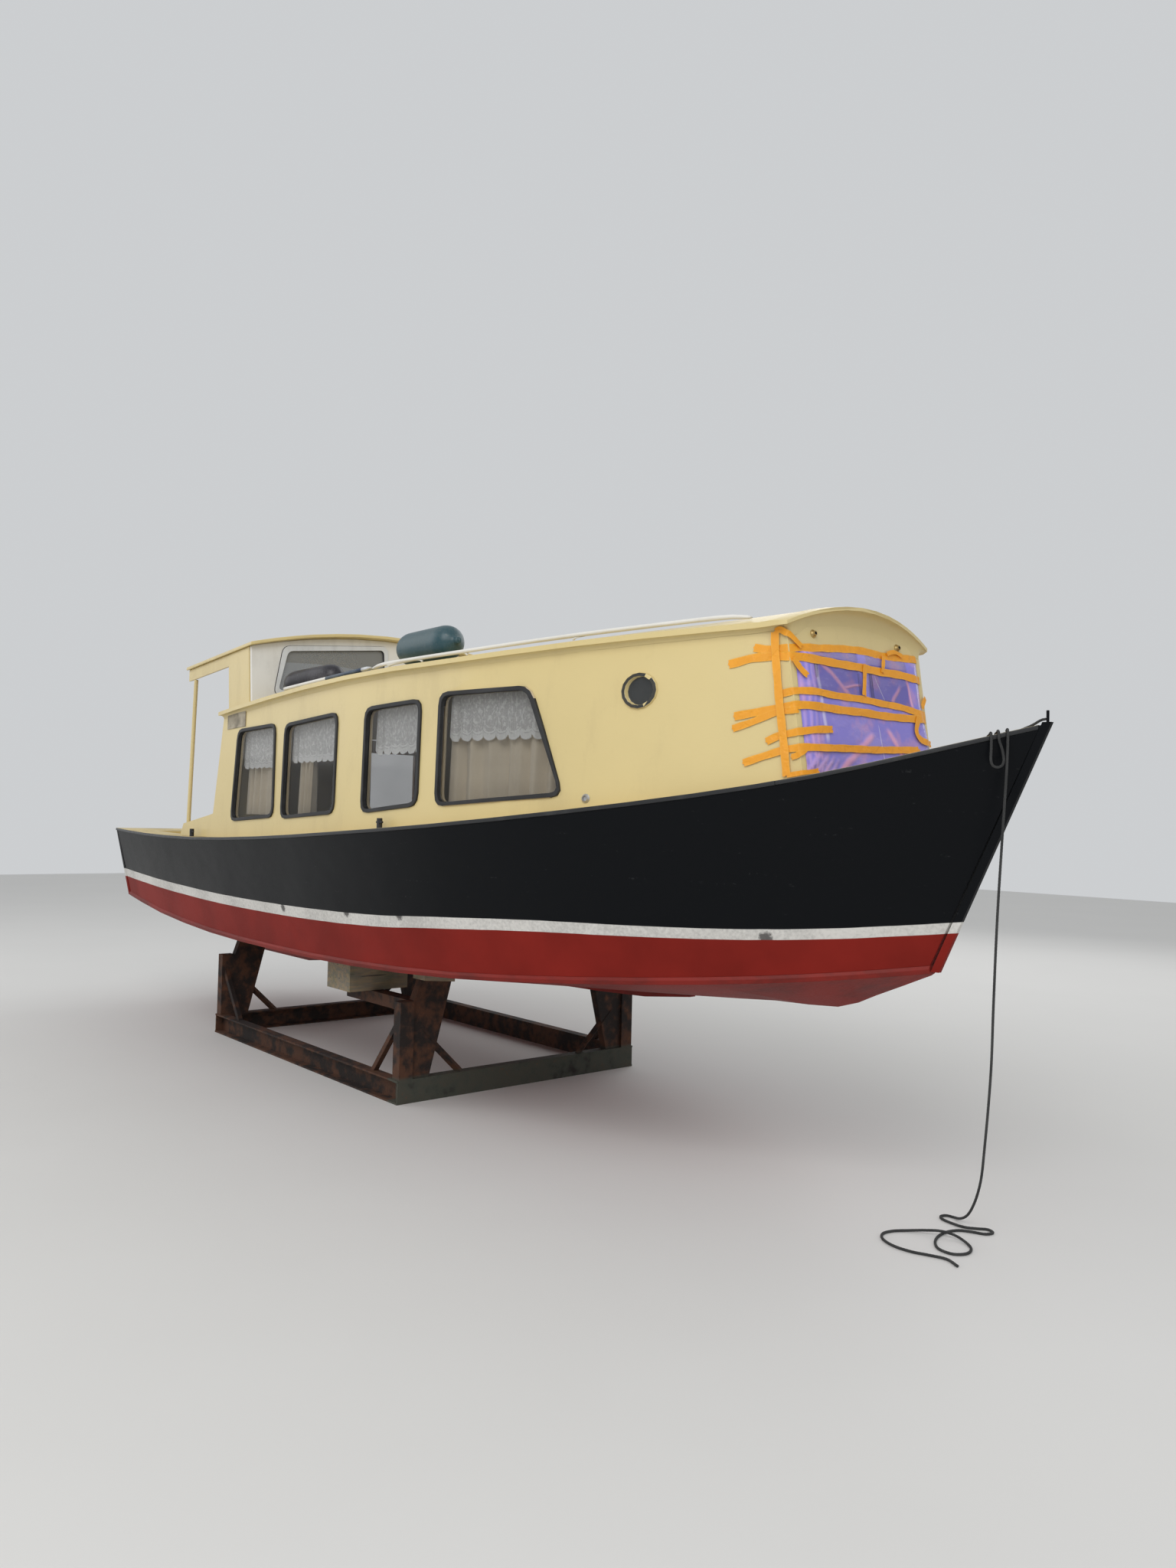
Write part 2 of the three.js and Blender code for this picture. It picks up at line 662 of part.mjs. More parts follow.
function frontWindow(side) {
  const { inner, outer, low, high, frame, corner } = FRONT_WINDOW;
  const ringAt = (by, out) => {
    const [a, b, c, d] = [inner + by, outer - by, high - by, low + by];
    const outline = rounded([[side * a, c], [side * b, c], [side * b, d], [side * a, d]], corner - by * 0.5);
    return outline.map(([y, z]) => onFace(y, z, out));
  };
  const outerRing = loft([ringAt(0.5, -WALL), ringAt(0.5, 8)]);
  const hollow = loft([ringAt(frame, -WALL - 5), ringAt(frame, 13)]);
  const pane = loft([ringAt(frame * 0.5, -22), ringAt(frame * 0.5, -16)]);
  return join(cut(outerRing, hollow), pane);
}

// Bulkhead between cabin and cockpit, with its doorway
const BULKHEAD_LOW = 1150;
const DOORWAY = { y0: -150, y1: 450, z0: SOLE_Z + 40, z1: 2440 };
const DOOR_GAP = 6;
const DOOR_HINGE = { x: BULKHEAD_X - 13, y: DOORWAY.y1 - 8, places: [DOORWAY.z0 + 150, DOORWAY.z1 - 230] };
const HINGE = { pin: 5, knuckle: 80, eye: 8, leaf: 34, end: 26 };
const DOOR_SLAB = 30;
const DOOR_PANE = { side: 90, low: 1850, drop: 110, lap: 10 };
const LEVER = { y: DOORWAY.y0 + 60, z: 1780, reach: 36, arm: 100, radius: 8 };
function bulkheadEdge(z) {
  return wallY(BULKHEAD_X, z) - WALL - 2;
}

function aftBulkhead() {
  const deck = sheer(BULKHEAD_X).z;
  const topZ = roofUnder(BULKHEAD_X, bulkheadEdge(2550)) - 3;
  const arch = ARCH.map((f) => [f * bulkheadEdge(topZ), roofUnder(BULKHEAD_X, f * bulkheadEdge(topZ)) - 3]);
  const outline = [...arch, [bulkheadEdge(deck), deck + 3], [BULKHEAD_LOW, deck + 3], [BULKHEAD_LOW, 960],
    [-BULKHEAD_LOW, 960], [-BULKHEAD_LOW, deck + 3], [-bulkheadEdge(deck), deck + 3]];
  const plate = loft([BULKHEAD_X, BULKHEAD_X + WALL].map((x) => outline.map(([y, z]) => [x, y, z])));
  const { y0, y1, z0, z1 } = DOORWAY;
  const opened = cut(plate, block(BULKHEAD_X - 50, BULKHEAD_X + 90, y0, y1, z0, z1));
  const { x, y, places } = DOOR_HINGE;
  const { pin, knuckle, eye, leaf, end } = HINGE;
  const hinges = places.flatMap((z) => [
    bar([x, y, z - end + 2], [x, y, z + knuckle + end - 2], pin, 16),
    block(x - eye, x + eye, y - eye, y + leaf, z - end, z - 1),
    block(x - eye, x + eye, y - eye, y + leaf, z + knuckle + 1, z + knuckle + end),
    block(x - eye, BULKHEAD_X + 8, y1 + 4, y + leaf, z - end, z + knuckle + end),
  ]);
  return join(opened, ...hinges);
}

// Companion door, hinged on its port edge, with a small lever handle
function companionDoor() {
  const { y0, y1, z0, z1 } = DOORWAY;
  const face = BULKHEAD_X + 2;
  const slab = block(face, face + DOOR_SLAB, y0 + DOOR_GAP, y1 - DOOR_GAP, z0 + DOOR_GAP, z1 - DOOR_GAP);
  const { side, low, drop, lap } = DOOR_PANE;
  const hole = block(face - 5, face + DOOR_SLAB + 5, y0 + side, y1 - side, low, z1 - drop);
  const pane = block(face + 12, face + 18, y0 + side - lap, y1 - side + lap, low - lap, z1 - drop + lap);
  const { x, y, places } = DOOR_HINGE;
  const { pin, knuckle } = HINGE;
  const knuckles = places.map((z) => join(
    bar([x, y, z], [x, y, z + knuckle], 2 * pin, 12),
    block(x, face + 4, y - 40, y - pin, z, z + knuckle),
  ));
  const pins = places.map((z) => bar([x, y, z - 20], [x, y, z + knuckle + 20], pin + RUNNING, 16));
  const grip = BULKHEAD_X - LEVER.reach;
  const spindle = bar([grip - 4, LEVER.y, LEVER.z], [face + 2, LEVER.y, LEVER.z], LEVER.radius + 1, 8);
  const lever = bar([grip, LEVER.y - 6, LEVER.z], [grip, LEVER.y + LEVER.arm, LEVER.z], LEVER.radius, 8);
  return cut(join(cut(slab, hole), pane, ...knuckles, spindle, lever), ...pins);
}

// Open well of the cockpit: sole, two sides and after end
function cockpitWell() {
  const high = (x) => sheer(x).z - 1;
  const fore = BULKHEAD_X - GAP;
  const floor = block(WELL_AFT_X - PLATE, fore, -WELL_HALF - PLATE, WELL_HALF + PLATE, SOLE_Z - 30, SOLE_Z);
  const wall = (side) => {
    const places = [WELL_AFT_X - PLATE, -3200, -2600, -2000, fore];
    const a = side * WELL_HALF;
    const b = side * (WELL_HALF + PLATE);
    const low = SOLE_Z - 10;
    return loft(places.map((x) => [[x, a, low], [x, a, high(x)], [x, b, high(x)], [x, b, low]]));
  };
  const aft = WELL_AFT_X - PLATE;
  const end = block(aft, WELL_AFT_X, -WELL_HALF - 5, WELL_HALF + 5, SOLE_Z - 10, high(aft));
  return join(floor, wall(-1), wall(1), end);
}

// Helm console against the bulkhead, with the tapered wheel boss seat
const CONSOLE = { x0: -1900, y0: -1040, y1: -480, top: 2120 };
const WHEEL = { x: -1972, y: -760, z: 1905, radius: 205, shaft: 15 };
function helmConsole() {
  const { x0, y0, y1, top } = CONSOLE;
  const outline = [
    [BULKHEAD_X - GAP, SOLE_Z + GAP], [BULKHEAD_X - GAP, top],
    [x0 + 90, top], [x0, top - 120], [x0, SOLE_Z + GAP],
  ];
  const body = plateXZ(outline, y0, y1);
  const seat = bar([x0 - 22, WHEEL.y, WHEEL.z], [x0 + 4, WHEEL.y, WHEEL.z], 45, 16);
  const bore = bar([x0 - 40, WHEEL.y, WHEEL.z], [x0 + 30, WHEEL.y, WHEEL.z], WHEEL.shaft + RUNNING, 24);
  return cut(join(body, seat), bore);
}

function steeringWheel() {
  const rim = new THREE.TorusGeometry(WHEEL.radius, 13, 6, 20);
  rim.rotateY(Math.PI / 2).translate(WHEEL.x, WHEEL.y, WHEEL.z);
  const spokes = Array.from({ length: 5 }, (_, k) => {
    const a = (k / 5) * Math.PI * 2 + Math.PI / 2;
    const reach = WHEEL.radius;
    return bar([WHEEL.x, WHEEL.y, WHEEL.z],
      [WHEEL.x, WHEEL.y + reach * Math.cos(a), WHEEL.z + reach * Math.sin(a)], 8, 6);
  });
  const hub = bar([WHEEL.x - 20, WHEEL.y, WHEEL.z], [CONSOLE.x0 - 28, WHEEL.y, WHEEL.z], 42, 16);
  const shaft = bar([WHEEL.x, WHEEL.y, WHEEL.z], [CONSOLE.x0 + 20, WHEEL.y, WHEEL.z], WHEEL.shaft, 20);
  return join(rim, ...spokes, hub, shaft);
}

// Hardtop over the forward half of the cockpit
const hardtopEdgeZ = (x) => HARDTOP_EDGE_Z + HARDTOP_FALL * (x - HARDTOP_FRONT_X);
const hardtopUnder = (x, y) => hardtopEdgeZ(x) - HARDTOP_SHEET
  + archRise(y / (HARDTOP_HALF + 18), HARDTOP_CAMBER);

function hardtopRoof() {
  const half = HARDTOP_HALF + 18;
  const places = [HARDTOP_AFT_X, -2120, -1700, HARDTOP_FRONT_X - 20, HARDTOP_FRONT_X + 18];
  return loft(places.map((x) => {
    const top = ARCH.map((f) => [x, f * half, hardtopEdgeZ(x) + archRise(f, HARDTOP_CAMBER)]);
    const low = ARCH.map((f) => [x, f * half, hardtopEdgeZ(x) - HARDTOP_SHEET + archRise(f, HARDTOP_CAMBER)]);
    return [...top, ...low.reverse()];
  }));
}

// Windshield panel that stands on the cabin roof
const FRONT_LEAN = 0.10;
const PANEL = 30;
const SHIELD = { inner: 92, outerLow: 1085, outerHigh: 1000, high: 3186, drop: 100, frame: 40 };
const roofTop = (x, y) => roofUnder(x, y) + ROOF;
const shieldX = (z) => HARDTOP_FRONT_X - FRONT_LEAN * (z - 2700);
function shieldLow(y) {
  return Math.max(roofTop(HARDTOP_FRONT_X, y), 2620) + 52;
}

function hardtopFront() {
  const rings = ARCH.flatMap((f) => (Math.abs(f) === 1 ? [f * 0.992] : [f])).map((f) => {
    const y = f * HARDTOP_HALF;
    const low = roofTop(HARDTOP_FRONT_X + 10, y) + 2.2;
    const high = hardtopUnder(HARDTOP_FRONT_X - 60, y) - 2;
    const at = (z, out) => [shieldX(z) + out, y, z];
    return [at(low, 0), at(high, 0), at(high, -PANEL), at(low, -PANEL)];
  });
  const holes = [-1, 1].map((side) => shieldSolid(side, 0, -PANEL - 60, 60));
  return cut(loft(rings), ...holes);
}

function shieldOutline(side, by) {
  const { inner, outerLow, outerHigh, high, drop } = SHIELD;
  const corners = [
    [side * (inner + by), high - by], [side * (outerHigh - by), high - drop - by],
    [side * (outerLow - by), shieldLow(outerLow) + by], [side * (inner + by), shieldLow(inner) + by],
  ];
  return rounded(corners, 60 - by * 0.5);
}

function shieldSolid(side, by, back, front) {
  return loft([back, front].map((out) => shieldOutline(side, by).map(([y, z]) => [shieldX(z) + out, y, z])));
}

function shieldWindow(side) {
  const outerRing = shieldSolid(side, 0.5, -PANEL, 8);
  const hollow = shieldSolid(side, SHIELD.frame, -PANEL - 5, 13);
  const pane = shieldSolid(side, SHIELD.frame * 0.5, -20, -14);
  return join(cut(outerRing, hollow), pane);
}

// Side of the hardtop: solid forward, open aft over the cockpit, with a narrow fascia
const QUARTER_AFT_X = -1690;
const FASCIA = 96;
function hardtopSide() {
  const y0 = HARDTOP_HALF - 4;
  const y1 = HARDTOP_HALF - 4 - PANEL;
  const foot = (x, y) => roofTop(x, y) + 1;
  const under = (x, y) => hardtopUnder(x, y) - 1;
  const front = (z) => shieldX(z) - PANEL - 1.5;
  const ring = (lowX, highX, y) => [
    [lowX, -y0, foot(lowX, y0)], [highX, -y0, under(highX, y0)],
    [highX, -y1, under(highX, y1)], [lowX, -y1, foot(lowX, y1)],
  ];
  const quarter = loft([
    ring(QUARTER_AFT_X, QUARTER_AFT_X - 40),
    ring(front(2660) - 1, front(3070) - 1),
  ]);
  const fascia = loft([HARDTOP_AFT_X + 12, QUARTER_AFT_X + 40].map((x) => [
    [x, -y0, under(x, y0) - FASCIA], [x, -y0, under(x, y0)],
    [x, -y1, under(x, y1)], [x, -y1, under(x, y1) - FASCIA],
  ]));
  return join(quarter, fascia);
}

// Pole from the cockpit coaming up to the hardtop's fascia
const POLE = { x: -2412, radius: 16, lift: 110, drop: 101.8 };
function hardtopPole() {
  const foot = sheer(POLE.x).z + POLE.lift;
  const y = wallY(POLE.x, foot) - WALL / 2;
  const head = HARDTOP_HALF - 4 - PANEL / 2;
  return bar([POLE.x, -y, foot], [POLE.x, -head, hardtopUnder(POLE.x, head) - POLE.drop], POLE.radius, 12);
}

// Grab rail along the edge of the cabin roof
const RAIL = { x0: 520, x1: 3040, rise: 30, inset: 72, radius: 12 };
const RAIL_FEET = [690, 1020, 1410, 2130];
function handrail() {
  const at = (x, up) => {
    const y = roofHalf(x) - RAIL.inset;
    return [x, -y, roofTop(x, y) + up];
  };
  const xs = [RAIL.x0, 900, 1300, 1700, 2200, 2650, RAIL.x1 - 70];
  const run = sweep([
    at(RAIL.x0 - 34, 4.1), at(RAIL.x0 - 30, RAIL.rise * 0.75), ...xs.map((x) => at(x + 20, RAIL.rise)),
    at(RAIL.x1 - 8, RAIL.rise * 0.75), at(RAIL.x1, 12),
  ], RAIL.radius, 6, 24);
  const feet = RAIL_FEET.map((x) => bar(at(x, 2.6), at(x, RAIL.rise), 8, 6));
  return join(run, ...feet);
}

// Rudder: blade, stock through the stern and heel pin in the shoe
const RUDDER = { fore: 60, aft: 290, half: 13, low: 530, high: 862, top: 1100 };
function rudder() {
  const { fore, aft, half, low, high, top } = RUDDER;
  const blade = plateXZ([
    [RUDDER_X + fore, low], [RUDDER_X + fore, high],
    [RUDDER_X - aft, high + 14], [RUDDER_X - aft - 20, low + 60],
  ], -half, half);
  const post = bar([RUDDER_X, 0, SKEG_FOOT_Z + SHOE - 7.7], [RUDDER_X, 0, top], STOCK_R, 20);
  return join(blade, post);
}

// Sections of a propeller blade: radius, half chord, pitch in radians and thickness
const BLADE_ROWS = [
  [22, 30, 0.95, 9], [60, 52, 0.75, 7], [105, 60, 0.5, 6], [140, 42, 0.38, 5], [PROP_R, 14, 0.33, 4],
];

// Propeller of three blades on its shaft
function propeller() {
  const hub = bar([PROP_X - 50, 0, PROP_Z], [PROP_X + 50, 0, PROP_Z], 28, 16);
  const nose = bar([PROP_X - 80, 0, PROP_Z], [PROP_X - 48, 0, PROP_Z], 16, 12);
  const shaft = bar([PROP_X, 0, PROP_Z], [PROP_X + 250, 0, PROP_Z], SHAFT_R, 24);
  const blades = [0, 1, 2].map((k) => {
    const blade = loft(BLADE_ROWS.map(([r, chord, pitch, thick]) => {
      const [c, s] = [Math.cos(pitch), Math.sin(pitch)];
      const half = thick / 2;
      return [[-chord, -half], [0, -thick], [chord, -half], [chord, half], [0, thick], [-chord, half]]
        .map(([u, v]) => [u * s + v * c, u * c - v * s, r]);
    }));
    return blade.rotateX((k * 2 * Math.PI) / 3).translate(PROP_X, 0, PROP_Z);
  });
  return join(hub, nose, shaft, ...blades);
}

// Point a set height over the cabin roof
const overRoof = ([x, y], lift) => [x, y, roofTop(x, y) + lift];

// Fenders that lie on the roof, each with a neck at both ends
const BLUE_FENDER = { fore: [1200, -1078], aft: [535, -1062], radius: 104, neck: 22, lift: 107.75 };
const BLACK_FENDER = { fore: [-560, -880], aft: [-1130, -1070], radius: 92, neck: 16, lift: 95.1 };
function roofFender({ fore, aft, radius, neck, lift }) {
  const a = new THREE.Vector3(...overRoof(fore, lift));
  const b = new THREE.Vector3(...overRoof(aft, lift));
  const length = a.distanceTo(b);
  const profile = [[0, 0], [neck, 0], [neck, 26], [radius * 0.8, 60], [radius, 130], [radius, length - 130],
    [radius * 0.8, length - 60], [neck, length - 26], [neck, length], [0, length]];
  const geometry = new THREE.LatheGeometry(profile.map((p) => new THREE.Vector2(...p)), 16);
  const turn = new THREE.Quaternion().setFromUnitVectors(
    new THREE.Vector3(0, 1, 0), b.clone().sub(a).normalize(),
  );
  return geometry.applyQuaternion(turn).translate(...a);
}

// Height of the bottom plating's underside
function bottomZ(x, y) {
  let i = 1;
  while (i < HULL.length - 1 && HULL[i].chineX < x) i += 1;
  const [a, b] = [HULL[i - 1], HULL[i]];
  const t = (x - a.chineX) / (b.chineX - a.chineX);
  const keel = mix(a.keelZ, b.keelZ, t);
  const chine = mix(a.chineZ, b.chineZ, t) - 4;
  return mix(keel, chine, Math.min(Math.abs(y) / mix(a.chineY, b.chineY, t), 1));
}

// Cabin floor between the topsides
const FLOOR_Z = 1000;
function cabinSole() {
  const places = HULL.map((s) => s.chineX).filter((x) => x > BULKHEAD_X + WALL + 30 && x < 2000);
  return loft([BULKHEAD_X + WALL + GAP, ...places, 2000].map((x) => {
    let i = 1;
    while (HULL[i].chineX < x) i += 1;
    const [a, b] = [HULL[i - 1], HULL[i]];
    const half = mix(a.chineY, b.chineY, (x - a.chineX) / (b.chineX - a.chineX)) - PLATE - 4;
    return [[x, -half, FLOOR_Z], [x, -half, FLOOR_Z + 18], [x, half, FLOOR_Z + 18], [x, half, FLOOR_Z]];
  }));
}

const ENGINE = { x0: -2880, x1: -2180, half: 230, z0: 940.8, z1: 1200 };
function engineBlock() {
  const { x0, x1, half, z0, z1 } = ENGINE;
  return block(x0, x1, -half, half, z0, z1);
}

// Curtains: a rail above the windows, a lace valance and the drapes that hang from it
const CURTAIN_DEEP = WALL + 34;
const CURTAIN_CLOTH = 14;
const VALANCES = [[-1400, -735], [-585, 175], [560, 1085], [1270, 2010]];
const DRAPES = [[-1350, -750], [-520, -330], [985, 1080], [1230, 2080]];
const RAIL_DROP = 118;
const VALANCE_DROP = 435;
const DRAPE_FOOT_Z = 1800;
const RAIL_BRACKETS = [-1470, -660, 330, 1160, 2105];
function curtains() {
  const hang = ([x0, x1], topDrop, bottom) => {
    const [tl, tr] = [[x0, eaveLine(x0) - topDrop], [x1, eaveLine(x1) - topDrop]];
    const [bl, br] = [[x0, bottom(x0)], [x1, bottom(x1)]];
    return wallPane({ tl, tr, br, bl }, -CURTAIN_DEEP, -CURTAIN_DEEP - CURTAIN_CLOTH, 2);
  };
  const xs = [-1480, -900, -300, 300, 900, 1500, 2120];
  const railY = (x) => wallY(x, eaveLine(x) - RAIL_DROP) - CURTAIN_DEEP - CURTAIN_CLOTH / 2;
  const rail = loft(xs.map((x) => {
    const [y, z] = [railY(x), eaveLine(x) - RAIL_DROP];
    return [[x, -y - 10, z - 10], [x, -y - 10, z + 10], [x, -y + 10, z + 10], [x, -y + 10, z - 10]];
  }));
  const brackets = RAIL_BRACKETS.map((x) => {
    const z = eaveLine(x) - RAIL_DROP;
    return bar([x, -railY(x), z], [x, -(wallY(x, z) - WALL - 2.4), z], 8, 6);
  });
  const valance = VALANCES.map((span) => hang(span, RAIL_DROP, (x) => eaveLine(x) - VALANCE_DROP));
  const drape = DRAPES.map((span) => hang(span, RAIL_DROP, () => DRAPE_FOOT_Z));
  return join(rail, ...brackets, ...valance, ...drape);
}

// Masking film taped over the cabin front
const FILM = { y0: -515, y1: 530, z0: 2066, z1: 2692, out: 8.4, thick: 4 };
function maskingFilm() {
  const { y0, y1, z0, z1, out, thick } = FILM;
  return loft([y0, y1].map((y) => [
    onFace(y, z0, out), onFace(y, z1, out), onFace(y, z1, out + thick), onFace(y, z0, out + thick),
  ]));
}

// Boathook lying along the roof edge
const HOOK = { fore: [575, -1300], aft: [-620, -1306], radius: 13, lift: 20 };
function boathook() {
  return bar(overRoof(HOOK.aft, HOOK.lift), overRoof(HOOK.fore, HOOK.lift), HOOK.radius, 10);
}

// Mooring rope: made fast to the pin on the bow, a bight over the deck edge, then down to the ground
const ROPE_R = 6;
const BIGHT_ROUTE = [
  [4219.2, 0, 2306], [4200, -1, 2303], [4160, -8, 2281], [4115, -15, 2263], [4070, -18, 2248],
  [4025, -34, 2234], [3995, -68, 2225], [4000, -106, 2226], [4026, -127, 2239], [4038, -141, 2244],
  [4048, -154, 2237], [4052, -159, 2220], [4053, -161, 2170], [4053, -161, 2116], [4059, -156, 2098],
  [4073, -144, 2090], [4088, -132, 2098], [4094, -128, 2116], [4090, -132, 2165], [4080, -140, 2205],
  [4077, -141, 2227], [4073, -135, 2245], [4062, -122, 2253], [4051, -109, 2248], [4034, -96, 2240],
  [4030, -76, 2239], [4038, -60, 2242], [4057, -53, 2247], [4074, -64, 2250], [4081, -83, 2254],
  [4092, -97, 2260], [4102, -111, 2255], [4106, -116, 2238],
];
const ROPE_ROUTE = [
  [4106, -116.5, 2235.4], [4103, -117, 2090], [4085, -115, 1795], [4062, -110, 1420], [4044, -101, 1050],
  [4028, -88, 750], [3980, -50, 400], [3940, -15, 220], [3895, 5, 105], [3850, 25, 42], [3805, 42, 14],
  [3765, 55, 6.4], [3732, 48, 6.4], [3722, 18, 6.4], [3745, -8, 6.4], [3800, -22, 6.4], [3868, -22, 6.4],
  [3915, 10, 6.4], [3950, 38, 6.4], [3984, 22, 6.4], [3975, -22, 6.4], [3920, -48, 6.4], [3875, -80, 6.4],
  [3853, -140, 6.4], [3860, -220, 6.4], [3895, -300, 6.4], [3950, -352, 6.4], [4015, -352, 6.4],
  [4048, -300, 6.4], [4030, -235, 6.4], [3975, -190, 9], [3915, -180, 19], [3856, -196, 23],
  [3800, -228, 17], [3740, -270, 8], [3698, -330, 6.4], [3690, -392, 6.4], [3725, -445, 6.4],
  [3800, -478, 6.4], [3890, -474, 6.4], [3960, -446, 6.4], [4030, -425, 6.4], [4100, -455, 6.4],
];
const ropeBight = () => sweep(BIGHT_ROUTE, ROPE_R, 8, 50);
const bowRope = () => sweep(ROPE_ROUTE, ROPE_R, 8, 82);

// Cradle of channel bars with legs at its corners
const CHANNEL_DEEP = 75;
const CHANNEL_WEB = 12;
function channelX(x0, x1, side) {
  const [tip, back] = [CRADLE_HALF, CRADLE_HALF - CHANNEL_DEEP];
  const w = CHANNEL_WEB;
  const outline = [
    [tip, 0], [back, 0], [back, CRADLE_BEAM], [tip, CRADLE_BEAM], [tip, CRADLE_BEAM - w],
    [back + w, CRADLE_BEAM - w], [back + w, w], [tip, w],
  ];
  return loft([x0, x1].map((x) => outline.map(([y, z]) => [x, side * y, z])));
}

function channelY(face, inward) {
  const w = CHANNEL_WEB;
  const deep = face + inward * CHANNEL_DEEP;
  const outline = [
    [face, 0], [deep, 0], [deep, w], [face + inward * w, w], [face + inward * w, CRADLE_BEAM - w],
    [deep, CRADLE_BEAM - w], [deep, CRADLE_BEAM], [face, CRADLE_BEAM],
  ];
  return loft([-CRADLE_HALF + 4, CRADLE_HALF - 4].map((y) => outline.map(([x, z]) => [x, y, z])));
}

const LEG = {
  postTop: 640, postWide: 100, plateThick: 60, footIn: 760, footOut: 890, topIn: 600, topOut: 830,
};
const BLOCK_TOP = 60;
function cradleLeg(x, inward, side) {
  const { postTop, postWide, plateThick, footIn, footOut, topIn, topOut } = LEG;
  const outerY = CRADLE_HALF - 12;
  const post = block(
    Math.min(x, x + inward * 80), Math.max(x, x + inward * 80),
    Math.min(side * outerY, side * (outerY - postWide)), Math.max(side * outerY, side * (outerY - postWide)),
    CRADLE_BEAM - 20, postTop,
  );
  const back = x + inward * 20;
  const high = (y) => Math.min(bottomZ(back, y), bottomZ(back + inward * plateThick, y)) - BLOCK_TOP;
  const outline = [
    [footOut + 10, CRADLE_BEAM - 20], [footIn, CRADLE_BEAM - 20],
    [topIn, high(topIn)], [topOut, high(topOut)], [footOut + 10, postTop - 60],
  ];
  const faces = [back, back + inward * plateThick];
  const plate = loft(faces.map((px) => outline.map(([y, z]) => [px, side * y, z])));
  const along = bar([x + inward * 60, side * 950, 520], [x + inward * 380, side * 950, 140], 24, 4);
  const across = bar([x + inward * 40, side * 800, 430], [x + inward * 40, side * 500, 140], 24, 4);
  return [post, plate, along, across];
}

const ARM = { x0: -350, y0: 800, y1: 900, z0: 560, z1: 640 };
function cradleFrame() {
  const arm = (side) => {
    const [y0, y1] = side > 0 ? [ARM.y0, ARM.y1] : [-ARM.y1, -ARM.y0];
    return block(ARM.x0, CRADLE_FRONT_X - 30, y0, y1, ARM.z0, ARM.z1);
  };
  return join(
    channelX(CRADLE_AFT_X, CRADLE_FRONT_X, -1), channelX(CRADLE_AFT_X, CRADLE_FRONT_X, 1),
    channelY(CRADLE_FRONT_X, -1), channelY(CRADLE_AFT_X, 1),
    ...cradleLeg(CRADLE_FRONT_X, -1, -1), ...cradleLeg(CRADLE_FRONT_X, -1, 1),
    ...cradleLeg(CRADLE_AFT_X, 1, -1), ...cradleLeg(CRADLE_AFT_X, 1, 1),
    arm(-1), arm(1),
  );
}

// Timber between the steel and the hull, trimmed to the slope of the bottom
const TRIM = 25;
function timberPad(x0, x1, y0, y1, lowZ) {
  const high = (x, y) => bottomZ(x, y) + TRIM;
  const rough = loft([x0, x1].map((x) => [
    [x, y0, lowZ(y0)], [x, y0, high(x, y0)], [x, y1, high(x, y1)], [x, y1, lowZ(y1)],
  ]));
  return cut(rough, hullBottom().translate(0, 0, -GAP));
}

const ARM_BLOCK = { x0: -335, x1: -20, y0: -1060, y1: -620 };
function armTimber() {
  const { x0, x1, y0, y1 } = ARM_BLOCK;
  return timberPad(x0, x1, y0, y1, () => ARM.z1 + GAP);
}

function legTimber(x, inward) {
  const back = x + inward * 20;
  const far = back + inward * LEG.plateThick;
  const [x0, x1] = [Math.min(back, far), Math.max(back, far)];
  const low = (y) => Math.min(bottomZ(x0, y), bottomZ(x1, y)) - BLOCK_TOP + GAP;
  return timberPad(x0 - 40, x1 + 40, -LEG.topOut, -LEG.topIn, low);
}

piece('hull_bottom', hullBottom(), 'bottom');
pair('hull_side', hullSide(), 'topside');
piece('transom', transom(), 'topside');
piece('stem_bar', stemBar(), 'topside');
piece('keel_skeg', keelSkeg(), 'bottom');
piece('foredeck', foredeck(), 'topside');
pair('side_deck', sideDeck(), 'cream');
piece('aft_deck', aftDeck(), 'cream');
pair('cabin_side', cabinSide(), 'cream');
piece('cabin_front', cabinFront(), 'cream');
piece('cabin_roof', cabinRoof(), 'cream');
WINDOWS.forEach((w, i) => pair(`window_${i + 1}`, sideWindow(w), 'rubber'));
pair('porthole', porthole(), 'cream');
piece('front_window_starboard', frontWindow(-1), 'rubber');
piece('front_window_port', frontWindow(1), 'rubber');
piece('aft_bulkhead', aftBulkhead(), 'cream');
piece('companion_door', companionDoor(), 'wood');
piece('cabin_sole', cabinSole(), 'wood');
piece('cockpit_well', cockpitWell(), 'cream');
piece('engine_block', engineBlock(), 'engine');
piece('helm_console', helmConsole(), 'wood');
piece('steering_wheel', steeringWheel(), 'wood');
piece('hardtop_front', hardtopFront(), 'white');
piece('windshield_starboard', shieldWindow(-1), 'alloy');
piece('windshield_port', shieldWindow(1), 'alloy');
pair('hardtop_side', hardtopSide(), 'cream');
piece('hardtop_roof', hardtopRoof(), 'cream');
pair('hardtop_pole', hardtopPole(), 'cream');
pair('handrail', handrail(), 'white');
pair('curtain', curtains(), 'cloth');
piece('masking_film', maskingFilm(), 'film');
piece('roof_fender_blue', roofFender(BLUE_FENDER), 'blueVinyl');
piece('roof_fender_black', roofFender(BLACK_FENDER), 'blackVinyl');
piece('boathook', boathook(), 'white');
piece('rope_bight', ropeBight(), 'rope');
piece('bow_rope', bowRope(), 'rope');
piece('rudder', rudder(), 'bottom');
piece('propeller', propeller(), 'bronze');
piece('cradle_frame', cradleFrame(), 'rust');
pair('timber_arm', armTimber(), 'timber');
pair('timber_front', legTimber(CRADLE_FRONT_X, -1), 'timber');
pair('timber_rear', legTimber(CRADLE_AFT_X, 1), 'timber');

export default boat;
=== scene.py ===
"""Looks of a steel motor cruiser laid up ashore on its boatyard cradle.

Lengths are metres. +X points to the bow, +Y to port and +Z up. The origin lies
on the ground under the middle of the boat's length and breadth.
"""

